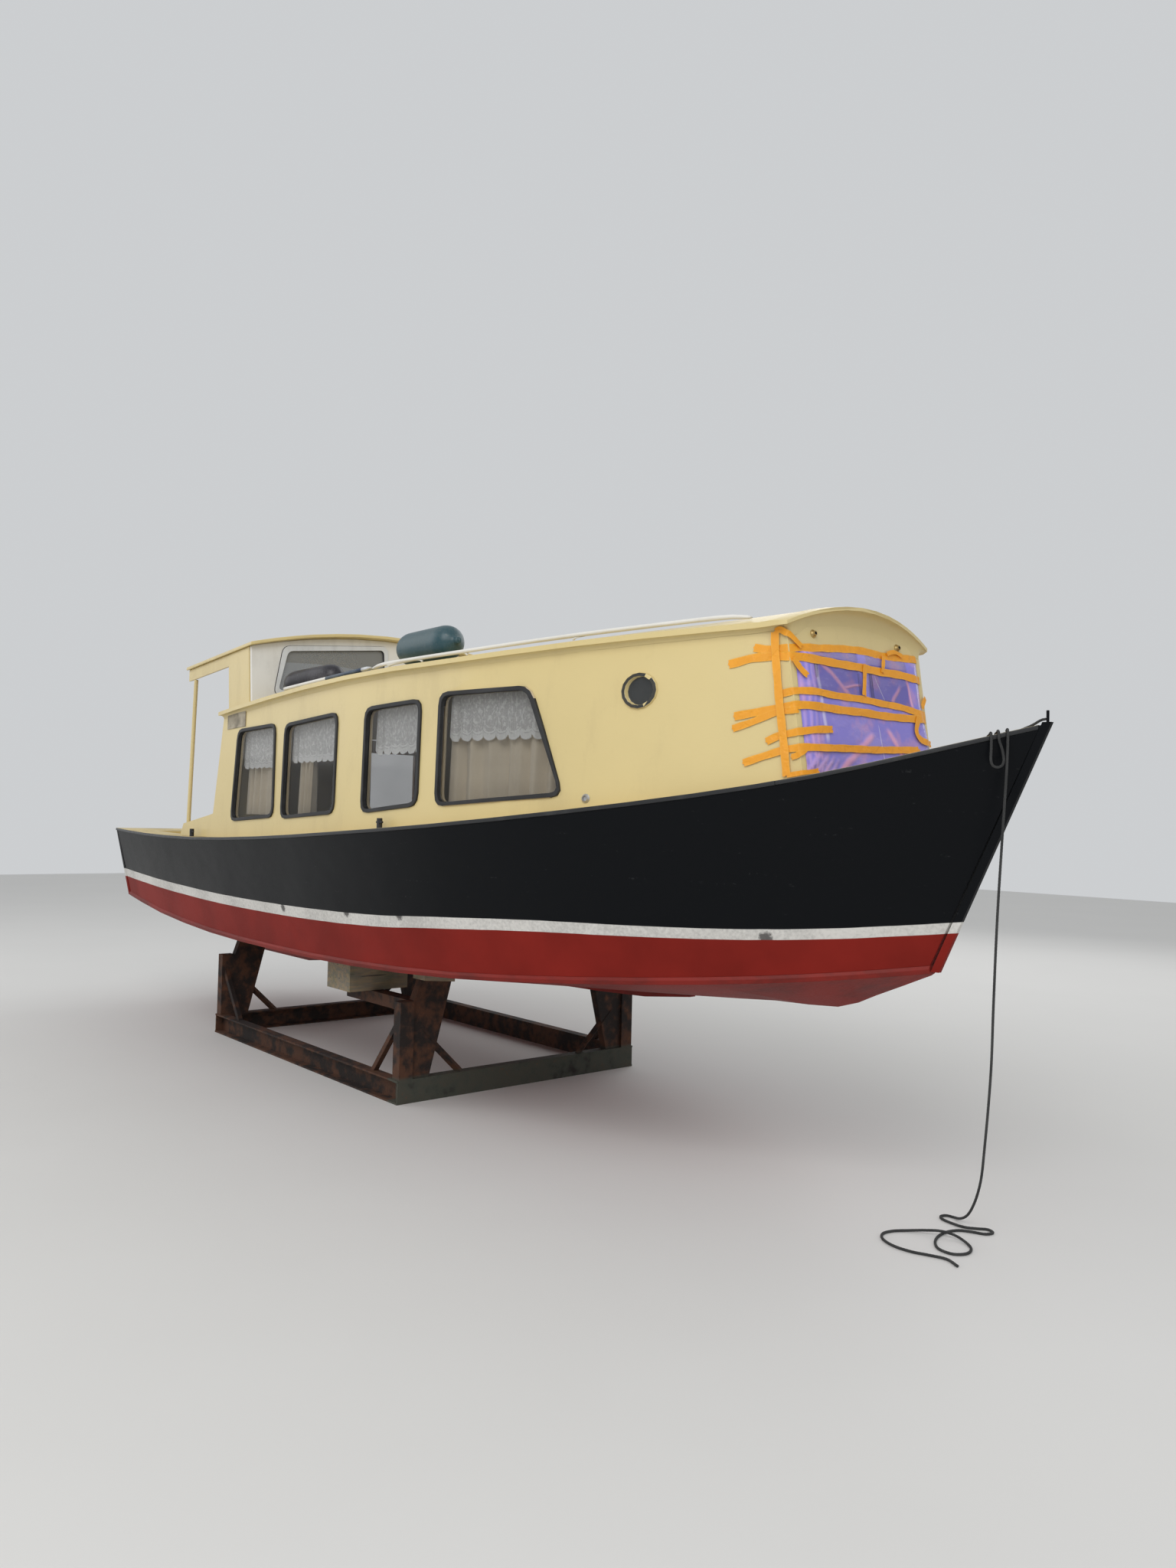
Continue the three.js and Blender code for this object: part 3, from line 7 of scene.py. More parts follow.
import logging
import math
from dataclasses import dataclass
from enum import Enum
from functools import reduce
from typing import Any, Callable, Iterator, Sequence

import bpy
from mathutils import Matrix, Vector
from mathutils.bvhtree import BVHTree
from mathutils.geometry import convex_hull_2d


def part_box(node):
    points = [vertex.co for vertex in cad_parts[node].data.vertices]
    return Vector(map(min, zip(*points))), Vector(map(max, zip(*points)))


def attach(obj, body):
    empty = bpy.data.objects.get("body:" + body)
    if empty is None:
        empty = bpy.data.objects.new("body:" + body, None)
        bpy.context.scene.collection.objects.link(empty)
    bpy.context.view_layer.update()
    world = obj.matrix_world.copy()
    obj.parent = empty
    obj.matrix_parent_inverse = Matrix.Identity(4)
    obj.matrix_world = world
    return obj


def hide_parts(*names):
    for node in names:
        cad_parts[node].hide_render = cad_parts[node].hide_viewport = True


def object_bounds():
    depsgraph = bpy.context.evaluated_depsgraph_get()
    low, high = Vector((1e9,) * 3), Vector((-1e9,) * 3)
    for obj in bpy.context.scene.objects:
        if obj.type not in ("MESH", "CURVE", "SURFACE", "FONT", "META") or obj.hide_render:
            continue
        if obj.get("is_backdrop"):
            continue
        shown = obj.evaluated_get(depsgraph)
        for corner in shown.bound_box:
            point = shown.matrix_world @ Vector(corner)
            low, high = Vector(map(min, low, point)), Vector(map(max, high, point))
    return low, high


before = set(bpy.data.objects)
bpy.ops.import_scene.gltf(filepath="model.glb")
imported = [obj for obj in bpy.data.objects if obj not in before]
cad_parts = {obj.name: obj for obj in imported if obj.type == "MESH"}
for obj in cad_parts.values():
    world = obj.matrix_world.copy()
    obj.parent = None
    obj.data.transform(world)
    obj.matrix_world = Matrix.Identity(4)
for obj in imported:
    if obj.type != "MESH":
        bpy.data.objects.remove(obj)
CAD_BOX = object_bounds()
LOG = logging.getLogger("motor_cruiser")

Point = tuple[float, float, float]
Pixel = tuple[float, float]
Colour = tuple[float, float, float]

# Least part of a face's normal along an axis for the face to look that way
FACING = 0.7


class Side(Enum):
    """The two sides of the boat, each with the sign of its Y."""

    STARBOARD = -1
    PORT = 1

    @property
    def word(self) -> str:
        """The side's name as it ends a piece's name."""
        return self.name.lower()


class Body(Enum):
    """The bodies that pieces ride on."""

    BOAT = "boat"
    DOOR = "door"
    WHEEL = "wheel"
    RUDDER = "rudder"
    PROPELLER = "propeller"


# Camera

@dataclass(frozen=True)
class PhotoCamera:
    """The place and lens from which the photograph was taken.

    focal, width and height are in pixels of the photograph, and heading is the
    level direction in which the camera looks.
    """

    place: Point = (6.680, -4.700, 1.82)
    heading: tuple[float, float] = (-0.7638, 0.6455)
    pitch: float = math.radians(1.80)
    roll: float = math.radians(1.33)
    focal: float = 1467.0
    width: int = 1536
    height: int = 2048
    sensor: float = 36.0
    clip: tuple[float, float] = (0.05, 200.0)

    def axes(self) -> tuple[Vector, Vector, Vector]:
        """Right, up and forward of the image, as unit vectors."""
        hx, hy = self.heading
        flat = Vector((hx, hy, 0)).normalized()
        ahead = flat * math.cos(self.pitch) + Vector((0, 0, math.sin(self.pitch)))
        level = Vector((flat.y, -flat.x, 0))
        over = level.cross(ahead)
        right = level * math.cos(self.roll) + over * math.sin(self.roll)
        return right, right.cross(ahead), ahead

    def ray(self, pixel: Pixel) -> tuple[Vector, Vector]:
        """Start and direction of the line of sight through a pixel."""
        right, up, ahead = self.axes()
        across = (pixel[0] - self.width / 2) / self.focal
        down = (pixel[1] - self.height / 2) / self.focal
        return Vector(self.place), (ahead + right * across - up * down).normalized()

    def build(self) -> None:
        """Adds the camera and makes it the scene's."""
        data = bpy.data.cameras.new("photo_camera")
        data.sensor_width = self.sensor
        data.lens = self.focal / self.height * self.sensor
        data.clip_start, data.clip_end = self.clip
        camera = bpy.data.objects.new("photo_camera", data)
        bpy.context.scene.collection.objects.link(camera)
        right, up, ahead = self.axes()
        turn = Matrix((right, up, -ahead)).transposed().to_4x4()
        camera.matrix_world = Matrix.Translation(self.place) @ turn
        bpy.context.scene.camera = camera


PHOTO = PhotoCamera()


# Shader expressions

class Sock:
    """A value in a node tree that takes part in sums written in Python."""

    def __init__(self, graph: "Graph", socket: Any) -> None:
        """Wraps an output socket of a graph."""
        self.graph = graph
        self.socket = socket

    def _math(self, operation: str, a: Any, b: Any = None) -> "Sock":
        """A Math node on one or two values."""
        values = {0: a} if b is None else {0: a, 1: b}
        made = self.graph.node("ShaderNodeMath", {"operation": operation}, values)
        return Sock(self.graph, made.outputs[0])

    def __add__(self, other: Any) -> "Sock":
        """Sum."""
        return self._math("ADD", self, other)

    def __sub__(self, other: Any) -> "Sock":
        """Difference."""
        return self._math("SUBTRACT", self, other)

    def __rsub__(self, other: Any) -> "Sock":
        """Difference from a number."""
        return self._math("SUBTRACT", other, self)

    def __mul__(self, other: Any) -> "Sock":
        """Product."""
        return self._math("MULTIPLY", self, other)

    def __truediv__(self, other: Any) -> "Sock":
        """Quotient."""
        return self._math("DIVIDE", self, other)

    def __rtruediv__(self, other: Any) -> "Sock":
        """Number divided by the value."""
        return self._math("DIVIDE", other, self)

    __radd__ = __add__
    __rmul__ = __mul__

    def size(self) -> "Sock":
        """Absolute value."""
        return self._math("ABSOLUTE", self)

    def wave(self) -> "Sock":
        """Sine of the value in radians."""
        return self._math("SINE", self)

    def part(self) -> "Sock":
        """Fraction after the whole number."""
        return self._math("FRACT", self)

    def least(self, other: Any) -> "Sock":
        """The lower of two values."""
        return self._math("MINIMUM", self, other)

    def most(self, other: Any) -> "Sock":
        """The higher of two values."""
        return self._math("MAXIMUM", self, other)

    def over(self, edge: Any, soft: float = 0.02) -> "Sock":
        """Mask that rises smoothly from 0 to 1 as the value passes an edge.

        Args:
            edge: value at the middle of the rise.
            soft: width of the rise.

        Returns:
            The mask.
        """
        lifted = (self - edge) / soft + 0.5
        made = self.graph.node(
            "ShaderNodeMapRange", {"interpolation_type": "SMOOTHSTEP", "clamp": True},
            {"Value": lifted, "From Min": 0.0, "From Max": 1.0, "To Min": 0.0, "To Max": 1.0},
        )
        return Sock(self.graph, made.outputs[0])


class Graph:
    """The node tree of one material, filled by expressions."""

    def __init__(self, name: str) -> None:
        """Makes the material and takes hold of its shader."""
        self.material = bpy.data.materials.new(name)
        self.material.use_nodes = True
        self.tree = self.material.node_tree
        self.shader = self.tree.nodes["Principled BSDF"]
        coordinates = self.node("ShaderNodeTexCoord")
        self.place = coordinates.outputs["Object"]
        self.flat = coordinates.outputs["UV"]

    def node(self, kind: str, settings: dict | None = None, values: dict | None = None) -> Any:
        """Adds a node.

        Args:
            kind: the node's type.
            settings: properties, or "points" for the points of a curve.
            values: numbers, colours or links by input name or number.

        Returns:
            The new node.
        """
        made = self.tree.nodes.new(kind)
        for key, value in (settings or {}).items():
            if key == "points":
                line = made.mapping.curves[0]
                while len(line.points) < len(value):
                    line.points.new(0.5, 0.5)
                for point, (x, y) in zip(line.points, value):
                    point.location = (x, y)
                made.mapping.update()
            else:
                setattr(made, key, value)
        for key, value in (values or {}).items():
            self.feed(made.inputs[key], value)
        return made

    def feed(self, socket: Any, value: Any) -> None:
        """Links or sets one input."""
        if isinstance(value, Sock):
            value = value.socket
        if isinstance(value, bpy.types.NodeSocket):
            self.tree.links.new(value, socket)
        elif isinstance(value, tuple) and len(value) == 3 and socket.type == "RGBA":
            socket.default_value = (*value, 1.0)
        else:
            socket.default_value = value

    def axes(self, vector: Any = None) -> tuple[Sock, Sock, Sock]:
        """The three numbers of a vector, by default the place on the object."""
        made = self.node("ShaderNodeSeparateXYZ", {}, {0: vector or self.place})
        return tuple(Sock(self, out) for out in made.outputs)

    def scaled(self, scale: Point, turn: Point = (0, 0, 0), vector: Any = None) -> Any:
        """A vector scaled and turned by a Mapping node."""
        values = {"Vector": vector or self.place, "Scale": scale, "Rotation": turn}
        return self.node("ShaderNodeMapping", {}, values).outputs[0]

    def noise(self, scale: float, detail: float = 3, vector: Any = None) -> Sock:
        """Noise from 0 to 1."""
        values = {"Vector": vector or self.place, "Scale": scale, "Detail": detail, "Roughness": 0.55}
        return Sock(self, self.node("ShaderNodeTexNoise", {}, values).outputs[0])

    def streaks(self, scale: Point, detail: float, turn: Point = (0, 0, 0), vector: Any = None) -> Sock:
        """Noise that is drawn out along the axes and turned."""
        return self.noise(1.0, detail, self.scaled(scale, turn, vector))

    def cells(self, scale: float) -> Sock:
        """Distance from the middle of the nearest cell."""
        values = {"Vector": self.place, "Scale": scale}
        return Sock(self, self.node("ShaderNodeTexVoronoi", {"feature": "F1"}, values).outputs[0])

    def mix(self, factor: Any, a: Any, b: Any) -> Any:
        """Mixes two colours, a at factor 0 and b at factor 1."""
        settings = {"data_type": "RGBA", "blend_type": "MIX", "clamp_factor": True}
        return self.node("ShaderNodeMix", settings, {0: factor, 6: a, 7: b}).outputs[2]

    def line(self, value: Sock, points: Sequence[tuple[float, float]]) -> Sock:
        """A smooth curve through points, as a function of a value.

        Args:
            value: the value along the first axis.
            points: pairs of value and result.

        Returns:
            The result.
        """
        xs, ys = [p[0] for p in points], [p[1] for p in points]
        x0, x1, y0, y1 = min(xs), max(xs), min(ys), max(ys)
        unit = [((x - x0) / (x1 - x0), (y - y0) / (y1 - y0)) for x, y in points]
        made = self.node("ShaderNodeFloatCurve", {"points": unit}, {"Value": (value - x0) / (x1 - x0)})
        return Sock(self, made.outputs[0]) * (y1 - y0) + y0

    def set(self, **values: Any) -> None:
        """Feeds the shader's inputs, named with underscores for spaces."""
        for name, value in values.items():
            self.feed(self.shader.inputs[name.replace("_", " ")], value)

    def bump(self, height: Any, distance: float, strength: float = 1.0) -> None:
        """Gives the shader a relief of that depth in metres."""
        values = {"Height": height, "Distance": distance, "Strength": strength}
        self.set(Normal=self.node("ShaderNodeBump", {}, values).outputs[0])


MADE: dict[str, Any] = {}


def times(triple: Point, factor: float) -> Point:
    """Three numbers, each multiplied by a factor."""
    return tuple(number * factor for number in triple)


@dataclass(frozen=True)
class Finish:
    """A surface finish. slot names a material slot, and is not used."""

    name: str
    slot: str

    def shade(self, g: Graph) -> None:
        """Fills the material's node tree."""
        raise NotImplementedError

    def material(self) -> Any:
        """The finish's material, made once."""
        if self.name not in MADE:
            graph = Graph(self.name)
            self.shade(graph)
            MADE[self.name] = graph.material
        return MADE[self.name]


@dataclass(frozen=True)
class Paint(Finish):
    """Brushed marine paint with weathering, runs of grime and slight brush marks.

    amount is how strong the grime is, and gloss is the weight of the coat.
    """

    colour: Colour = (0.8, 0.6, 0.3)
    grime: Colour = (0.25, 0.17, 0.08)
    amount: float = 0.35
    rough: float = 0.36
    gloss: float = 0.25
    coat_rough: float = 0.16
    brush_marks: Point = (7, 90, 90)
    relief: float = 0.0012

    def shade(self, g: Graph) -> None:
        """Fills the material's node tree."""
        broad, speck = g.noise(0.9, 3), g.noise(46, 3)
        runs = g.streaks((9, 9, 2.2), 4)
        dirt = (runs * 0.6 + broad * 0.5 + speck * 0.12).over(0.68, 0.16) * self.amount
        tone = g.mix(broad.over(0.5, 0.5), self.colour, times(self.colour, 0.93))
        g.set(Base_Color=g.mix(dirt, tone, self.grime), Roughness=speck * 0.14 + dirt * 0.3 + self.rough)
        g.set(Coat_Weight=self.gloss, Coat_Roughness=self.coat_rough)
        brush = g.streaks(self.brush_marks, 3)
        g.bump(brush * 0.5 + g.noise(3.2, 2) * 3.0, self.relief, 0.5)


@dataclass(frozen=True)
class HullPaint(Finish):
    """Black topsides over a white boot stripe and a red bottom.

    stripe gives the height of the stripe's upper edge along the boat, and marks
    are places where the stripe is scuffed. The stripe narrows from wide_aft to
    wide_fore around the place narrows, over the length narrowing.
    """

    black: Colour = (0.0040, 0.0048, 0.0062)
    scraped: Colour = (0.035, 0.036, 0.038)
    white: Colour = (0.72, 0.70, 0.66)
    red: Colour = (0.25, 0.018, 0.012)
    scuff: Colour = (0.05, 0.045, 0.045)
    stripe: tuple[tuple[float, float], ...] = (
        (-4.3, 1.262), (-3.4, 1.232), (-2.575, 1.208), (-1.148, 1.185),
        (0.31, 1.201), (1.285, 1.247), (1.937, 1.277), (2.787, 1.295),
        (3.146, 1.313), (3.624, 1.359), (3.9, 1.394), (4.3, 1.440),
    )
    wide_aft: float = 0.073
    wide_fore: float = 0.050
    narrows: float = 1.8
    narrowing: float = 4.0
    waver: float = 0.004
    blur: float = 0.003
    marks: tuple[Point, ...] = ()
    mark_size: float = 0.055
    specular: float = 0.10
    relief: float = 0.0022

    def shade(self, g: Graph) -> None:
        """Fills the material's node tree."""
        x, _, z = g.axes()
        waver = (g.noise(5, 2) - 0.5) * self.waver
        edge = g.line(x, self.stripe) + waver
        narrow = x.over(self.narrows, self.narrowing)
        foot = edge - (self.wide_aft + narrow * (self.wide_fore - self.wide_aft))
        above, below = z.over(edge, self.blur), 1 - z.over(foot, self.blur)
        speck, broad = g.noise(60, 4), g.noise(1.6, 4)
        scrape = g.streaks((5, 5, 60), 4)
        worn = (scrape * 0.6 + speck * 0.4).over(0.66, 0.06) * 0.5
        black = g.mix(worn, self.black, self.scraped)
        white = g.mix((broad * 0.6 + speck * 0.5).over(0.58, 0.3), self.white, times(self.white, 0.72))
        red = g.mix(broad.over(0.52, 0.4), self.red, times(self.red, 0.74))
        for mark in self.marks:
            away = g.node("ShaderNodeVectorMath", {"operation": "DISTANCE"}, {0: g.place, 1: mark})
            near = 1 - (Sock(g, away.outputs["Value"]) + speck * 0.05).over(self.mark_size, 0.02)
            white = g.mix(near * 0.85, white, self.scuff)
        colour = g.mix(above, g.mix(below, white, red), black)
        rough = speck * 0.12 + broad * 0.08 + (1 - above) * 0.18 + 0.24
        g.set(Base_Color=colour, Roughness=rough, Specular_IOR_Level=self.specular)
        wave = g.streaks((1.7, 1.7, 2.6), 2)
        g.bump(wave * 6.0 + g.noise(70, 2) * 0.12, self.relief, 0.6)


@dataclass(frozen=True)
class BottomPaint(Finish):
    """Matt red antifouling, rolled on in patches."""

    colour: Colour = (0.24, 0.018, 0.012)
    old: Colour = (0.14, 0.015, 0.011)
    chip: Colour = (0.05, 0.03, 0.028)
    specular: float = 0.25
    relief: float = 0.0016

    def shade(self, g: Graph) -> None:
        """Fills the material's node tree."""
        broad, speck = g.noise(2.1, 5), g.noise(85, 3)
        roller = g.streaks((3, 22, 22), 3)
        tone = g.mix((broad * 0.7 + roller * 0.4).over(0.57, 0.3), self.colour, self.old)
        chips = g.noise(17, 5).over(0.72, 0.03) * 0.5
        g.set(Base_Color=g.mix(chips, tone, self.chip), Roughness=speck * 0.2 + 0.44)
        g.set(Specular_IOR_Level=self.specular)
        g.bump(speck * 0.5 + roller, self.relief, 0.55)


@dataclass(frozen=True)
class DeckPaint(Finish):
    """Gritty non-slip deck paint."""

    colour: Colour = (0.62, 0.50, 0.26)
    grains: float = 420.0
    relief: float = 0.0009

    def shade(self, g: Graph) -> None:
        """Fills the material's node tree."""
        broad, grit = g.noise(1.7, 4), g.cells(self.grains)
        wear = (broad + g.noise(24, 4) * 0.3).over(0.72, 0.2)
        dirty = times(self.colour, 0.55)
        g.set(Base_Color=g.mix(wear * 0.7, self.colour, dirty), Roughness=broad * 0.15 + 0.66)
        g.bump(1 - grit, self.relief, 0.8)


@dataclass(frozen=True)
class Rubber(Finish):
    """Black rubber or moulded plastic with a chalky bloom."""

    colour: Colour = (0.012, 0.012, 0.013)
    rough: float = 0.5

    def shade(self, g: Graph) -> None:
        """Fills the material's node tree."""
        speck, broad = g.noise(130, 4), g.noise(7, 4)
        bloom = (speck * 0.4 + broad * 0.6).over(0.56, 0.3) * 0.5
        chalk = tuple(c * 3.0 + 0.012 for c in self.colour)
        g.set(Base_Color=g.mix(bloom, self.colour, chalk), Roughness=speck * 0.16 + self.rough)
        g.bump(speck, 0.0005, 0.5)


@dataclass(frozen=True)
class Glass(Finish):
    """Dusty tinted glass. clear is how much shows through it."""

    tint: Colour = (0.012, 0.014, 0.015)
    dirt: Colour = (0.32, 0.31, 0.28)
    clear: float = 0.80
    specular: float = 0.75

    def shade(self, g: Graph) -> None:
        """Fills the material's node tree."""
        dust = (g.noise(3.1, 5) * 0.7 + g.noise(90, 3) * 0.3).over(0.52, 0.4)
        g.set(
            Base_Color=g.mix(dust * 0.10, self.tint, self.dirt), Roughness=dust * 0.07 + 0.03,
            Alpha=dust * 0.04 + (1 - self.clear), Specular_IOR_Level=self.specular,
        )


@dataclass(frozen=True)
class Metal(Finish):
    """Bare metal with fine scratches and a duller film in patches."""

    colour: Colour = (0.66, 0.67, 0.68)
    dull: Colour = (0.35, 0.35, 0.36)
    rough: float = 0.3
    metal: float = 1.0

    def shade(self, g: Graph) -> None:
        """Fills the material's node tree."""
        scratch = g.streaks((260, 30, 30), 4, (0.3, 0.2, 0.5))
        film = g.noise(9, 5).over(0.52, 0.3)
        g.set(
            Base_Color=g.mix(film, self.colour, self.dull), Metallic=self.metal - film * 0.25,
            Roughness=scratch * 0.14 + film * 0.22 + self.rough,
        )
        g.bump(scratch, 0.0004, 0.35)


@dataclass(frozen=True)
class Wood(Finish):
    """Planed wood.

    grain is low along the axis that it runs with, varnish is the weight of its
    coat, and board is the width of its boards, or 0 for one plank.
    """

    pale: Colour = (0.38, 0.19, 0.08)
    dark: Colour = (0.17, 0.075, 0.03)
    grain: Point = (3, 42, 42)
    varnish: float = 0.6
    rough: float = 0.36
    board: float = 0.0
    seam: Colour = (0.012, 0.011, 0.010)
    coat_rough: float = 0.12
    relief: float = 0.0008

    def shade(self, g: Graph) -> None:
        """Fills the material's node tree."""
        warp = g.streaks(self.grain, 4)
        rings = (warp * 26 + g.streaks(self.grain, 2) * 9).wave() * 0.5 + 0.5
        pores = g.streaks(times(self.grain, 7), 3)
        tone = g.mix(rings * 0.55 + warp * 0.45, self.pale, self.dark)
        tone = g.mix(pores.over(0.6, 0.1) * 0.6, tone, times(self.dark, 0.5))
        relief = pores * 0.6
        if self.board:
            _, y, _ = g.axes()
            seam = 1 - ((y / self.board).part() - 0.5).size().over(0.465, 0.02)
            tone = g.mix(1 - seam, tone, self.seam)
            relief = relief + seam
        g.set(Base_Color=tone, Roughness=pores * 0.2 + self.rough)
        g.set(Coat_Weight=self.varnish, Coat_Roughness=self.coat_rough)
        g.bump(relief, self.relief, 0.5)


@dataclass(frozen=True)
class OldTimber(Finish):
    """Rough sawn timber, grey from the weather."""

    fresh: Colour = (0.33, 0.25, 0.15)
    grey: Colour = (0.20, 0.185, 0.15)
    moss: Colour = (0.10, 0.12, 0.055)
    crack: Colour = (0.03, 0.025, 0.02)
    relief: float = 0.004

    def shade(self, g: Graph) -> None:
        """Fills the material's node tree."""
        grain = g.streaks((34, 5, 46), 5)
        crack = g.streaks((60, 3, 90), 3).over(0.68, 0.05)
        moss = g.noise(5, 4).over(0.55, 0.2)
        tone = g.mix(grain.over(0.5, 0.4), self.fresh, self.grey)
        tone = g.mix(moss * 0.35, tone, self.moss)
        g.set(Base_Color=g.mix(crack * 0.8, tone, self.crack), Roughness=grain * 0.1 + 0.8)
        g.bump(grain - crack * 1.2, self.relief, 0.8)


@dataclass(frozen=True)
class Rust(Finish):
    """Steel gone brown, with flaking scale, and greenish along the cradle's front beam.

    beam_from is the X behind which that beam begins, and beam_top is its height.
    """

    dark: Colour = (0.016, 0.010, 0.008)
    warm: Colour = (0.085, 0.034, 0.016)
    lichen: Colour = (0.060, 0.068, 0.052)
    orange: Colour = (0.17, 0.062, 0.022)
    beam_from: float = 0.40
    beam_top: float = 0.16
    relief: float = 0.0045

    def shade(self, g: Graph) -> None:
        """Fills the material's node tree."""
        x, _, z = g.axes()
        broad, scale, grain = g.noise(2.6, 5), g.noise(13, 6), g.noise(110, 4)
        tone = g.mix((broad * 0.5 + scale * 0.6).over(0.56, 0.16), self.dark, self.warm)
        beam = x.over(self.beam_from, 0.05) * (1 - z.over(self.beam_top, 0.03))
        grown = beam * (scale * 0.6 + broad * 0.5).over(0.44, 0.2)
        tone = g.mix(grown * 0.85, tone, self.lichen)
        flakes = (scale * 0.6 + grain * 0.4).over(0.64, 0.05)
        tone = g.mix(flakes * 0.5, tone, self.orange)
        g.set(Base_Color=tone, Roughness=grain * 0.2 + 0.68, Metallic=0.15)
        g.bump(scale * 1.4 + grain * 0.4 + broad, self.relief, 0.7)


@dataclass(frozen=True)
class Cloth(Finish):
    """Plain woven curtain cloth, its threads laid out on the piece's UV map."""

    colour: Colour = (0.80, 0.70, 0.54)
    threads: float = 340.0
    sheen: float = 0.25
    relief: float = 0.0005

    def shade(self, g: Graph) -> None:
        """Fills the material's node tree."""
        u, v, _ = g.axes(g.flat)
        turns = self.threads * 6.28
        warp, weft = (u * turns).wave(), (v * turns).wave()
        weave = warp * weft * 0.5 + 0.5
        fade = g.noise(2.2, 3)
        band = (v * 34).wave().over(0.2, 1.2)
        dim = times(self.colour, 0.78)
        tone = g.mix(fade.over(0.5, 0.4) * 0.6 + weave * 0.15 + band * 0.1, self.colour, dim)
        g.set(Base_Color=tone, Roughness=weave * 0.06 + 0.86, Sheen_Weight=self.sheen)
        g.bump(weave + fade * 2, self.relief, 0.6)


@dataclass(frozen=True)
class Lace(Finish):
    """White net with leaves and veins woven in, and denser bands over its hem."""

    colour: Colour = (0.90, 0.90, 0.88)
    mesh: float = 210.0
    hem: float = 0.10
    relief: float = 0.0006

    def shade(self, g: Graph) -> None:
        """Fills the material's node tree."""
        u, v, _ = g.axes(g.flat)
        net = (u * self.mesh * 3.14).wave().size() * (v * self.mesh * 1.5).wave().size()
        holes = net.over(0.42, 0.3)
        hem = 1 - v.over(self.hem, 0.03)
        band = ((v * 62).wave() * 0.5 + 0.5).over(0.86, 0.1) * (1 - v.over(0.20, 0.04))
        leaf = g.streaks((44, 13, 1), 2, (0, 0, 0.6), g.flat).over(0.55, 0.06)
        vein = g.streaks((30, 20, 1), 2, (0, 0, -0.7), g.flat).over(0.60, 0.05)
        solid = (hem * 0.9).most(band).most(leaf * 0.9).most(vein * 0.7)
        alpha = (1 - holes * 0.42).most(solid).least(0.98)
        g.set(Base_Color=g.mix(solid, times(self.colour, 0.86), self.colour), Alpha=alpha)
        g.set(Roughness=g.noise(40, 2) * 0.1 + 0.82)
        g.bump(solid + holes * -0.4, self.relief, 0.6)


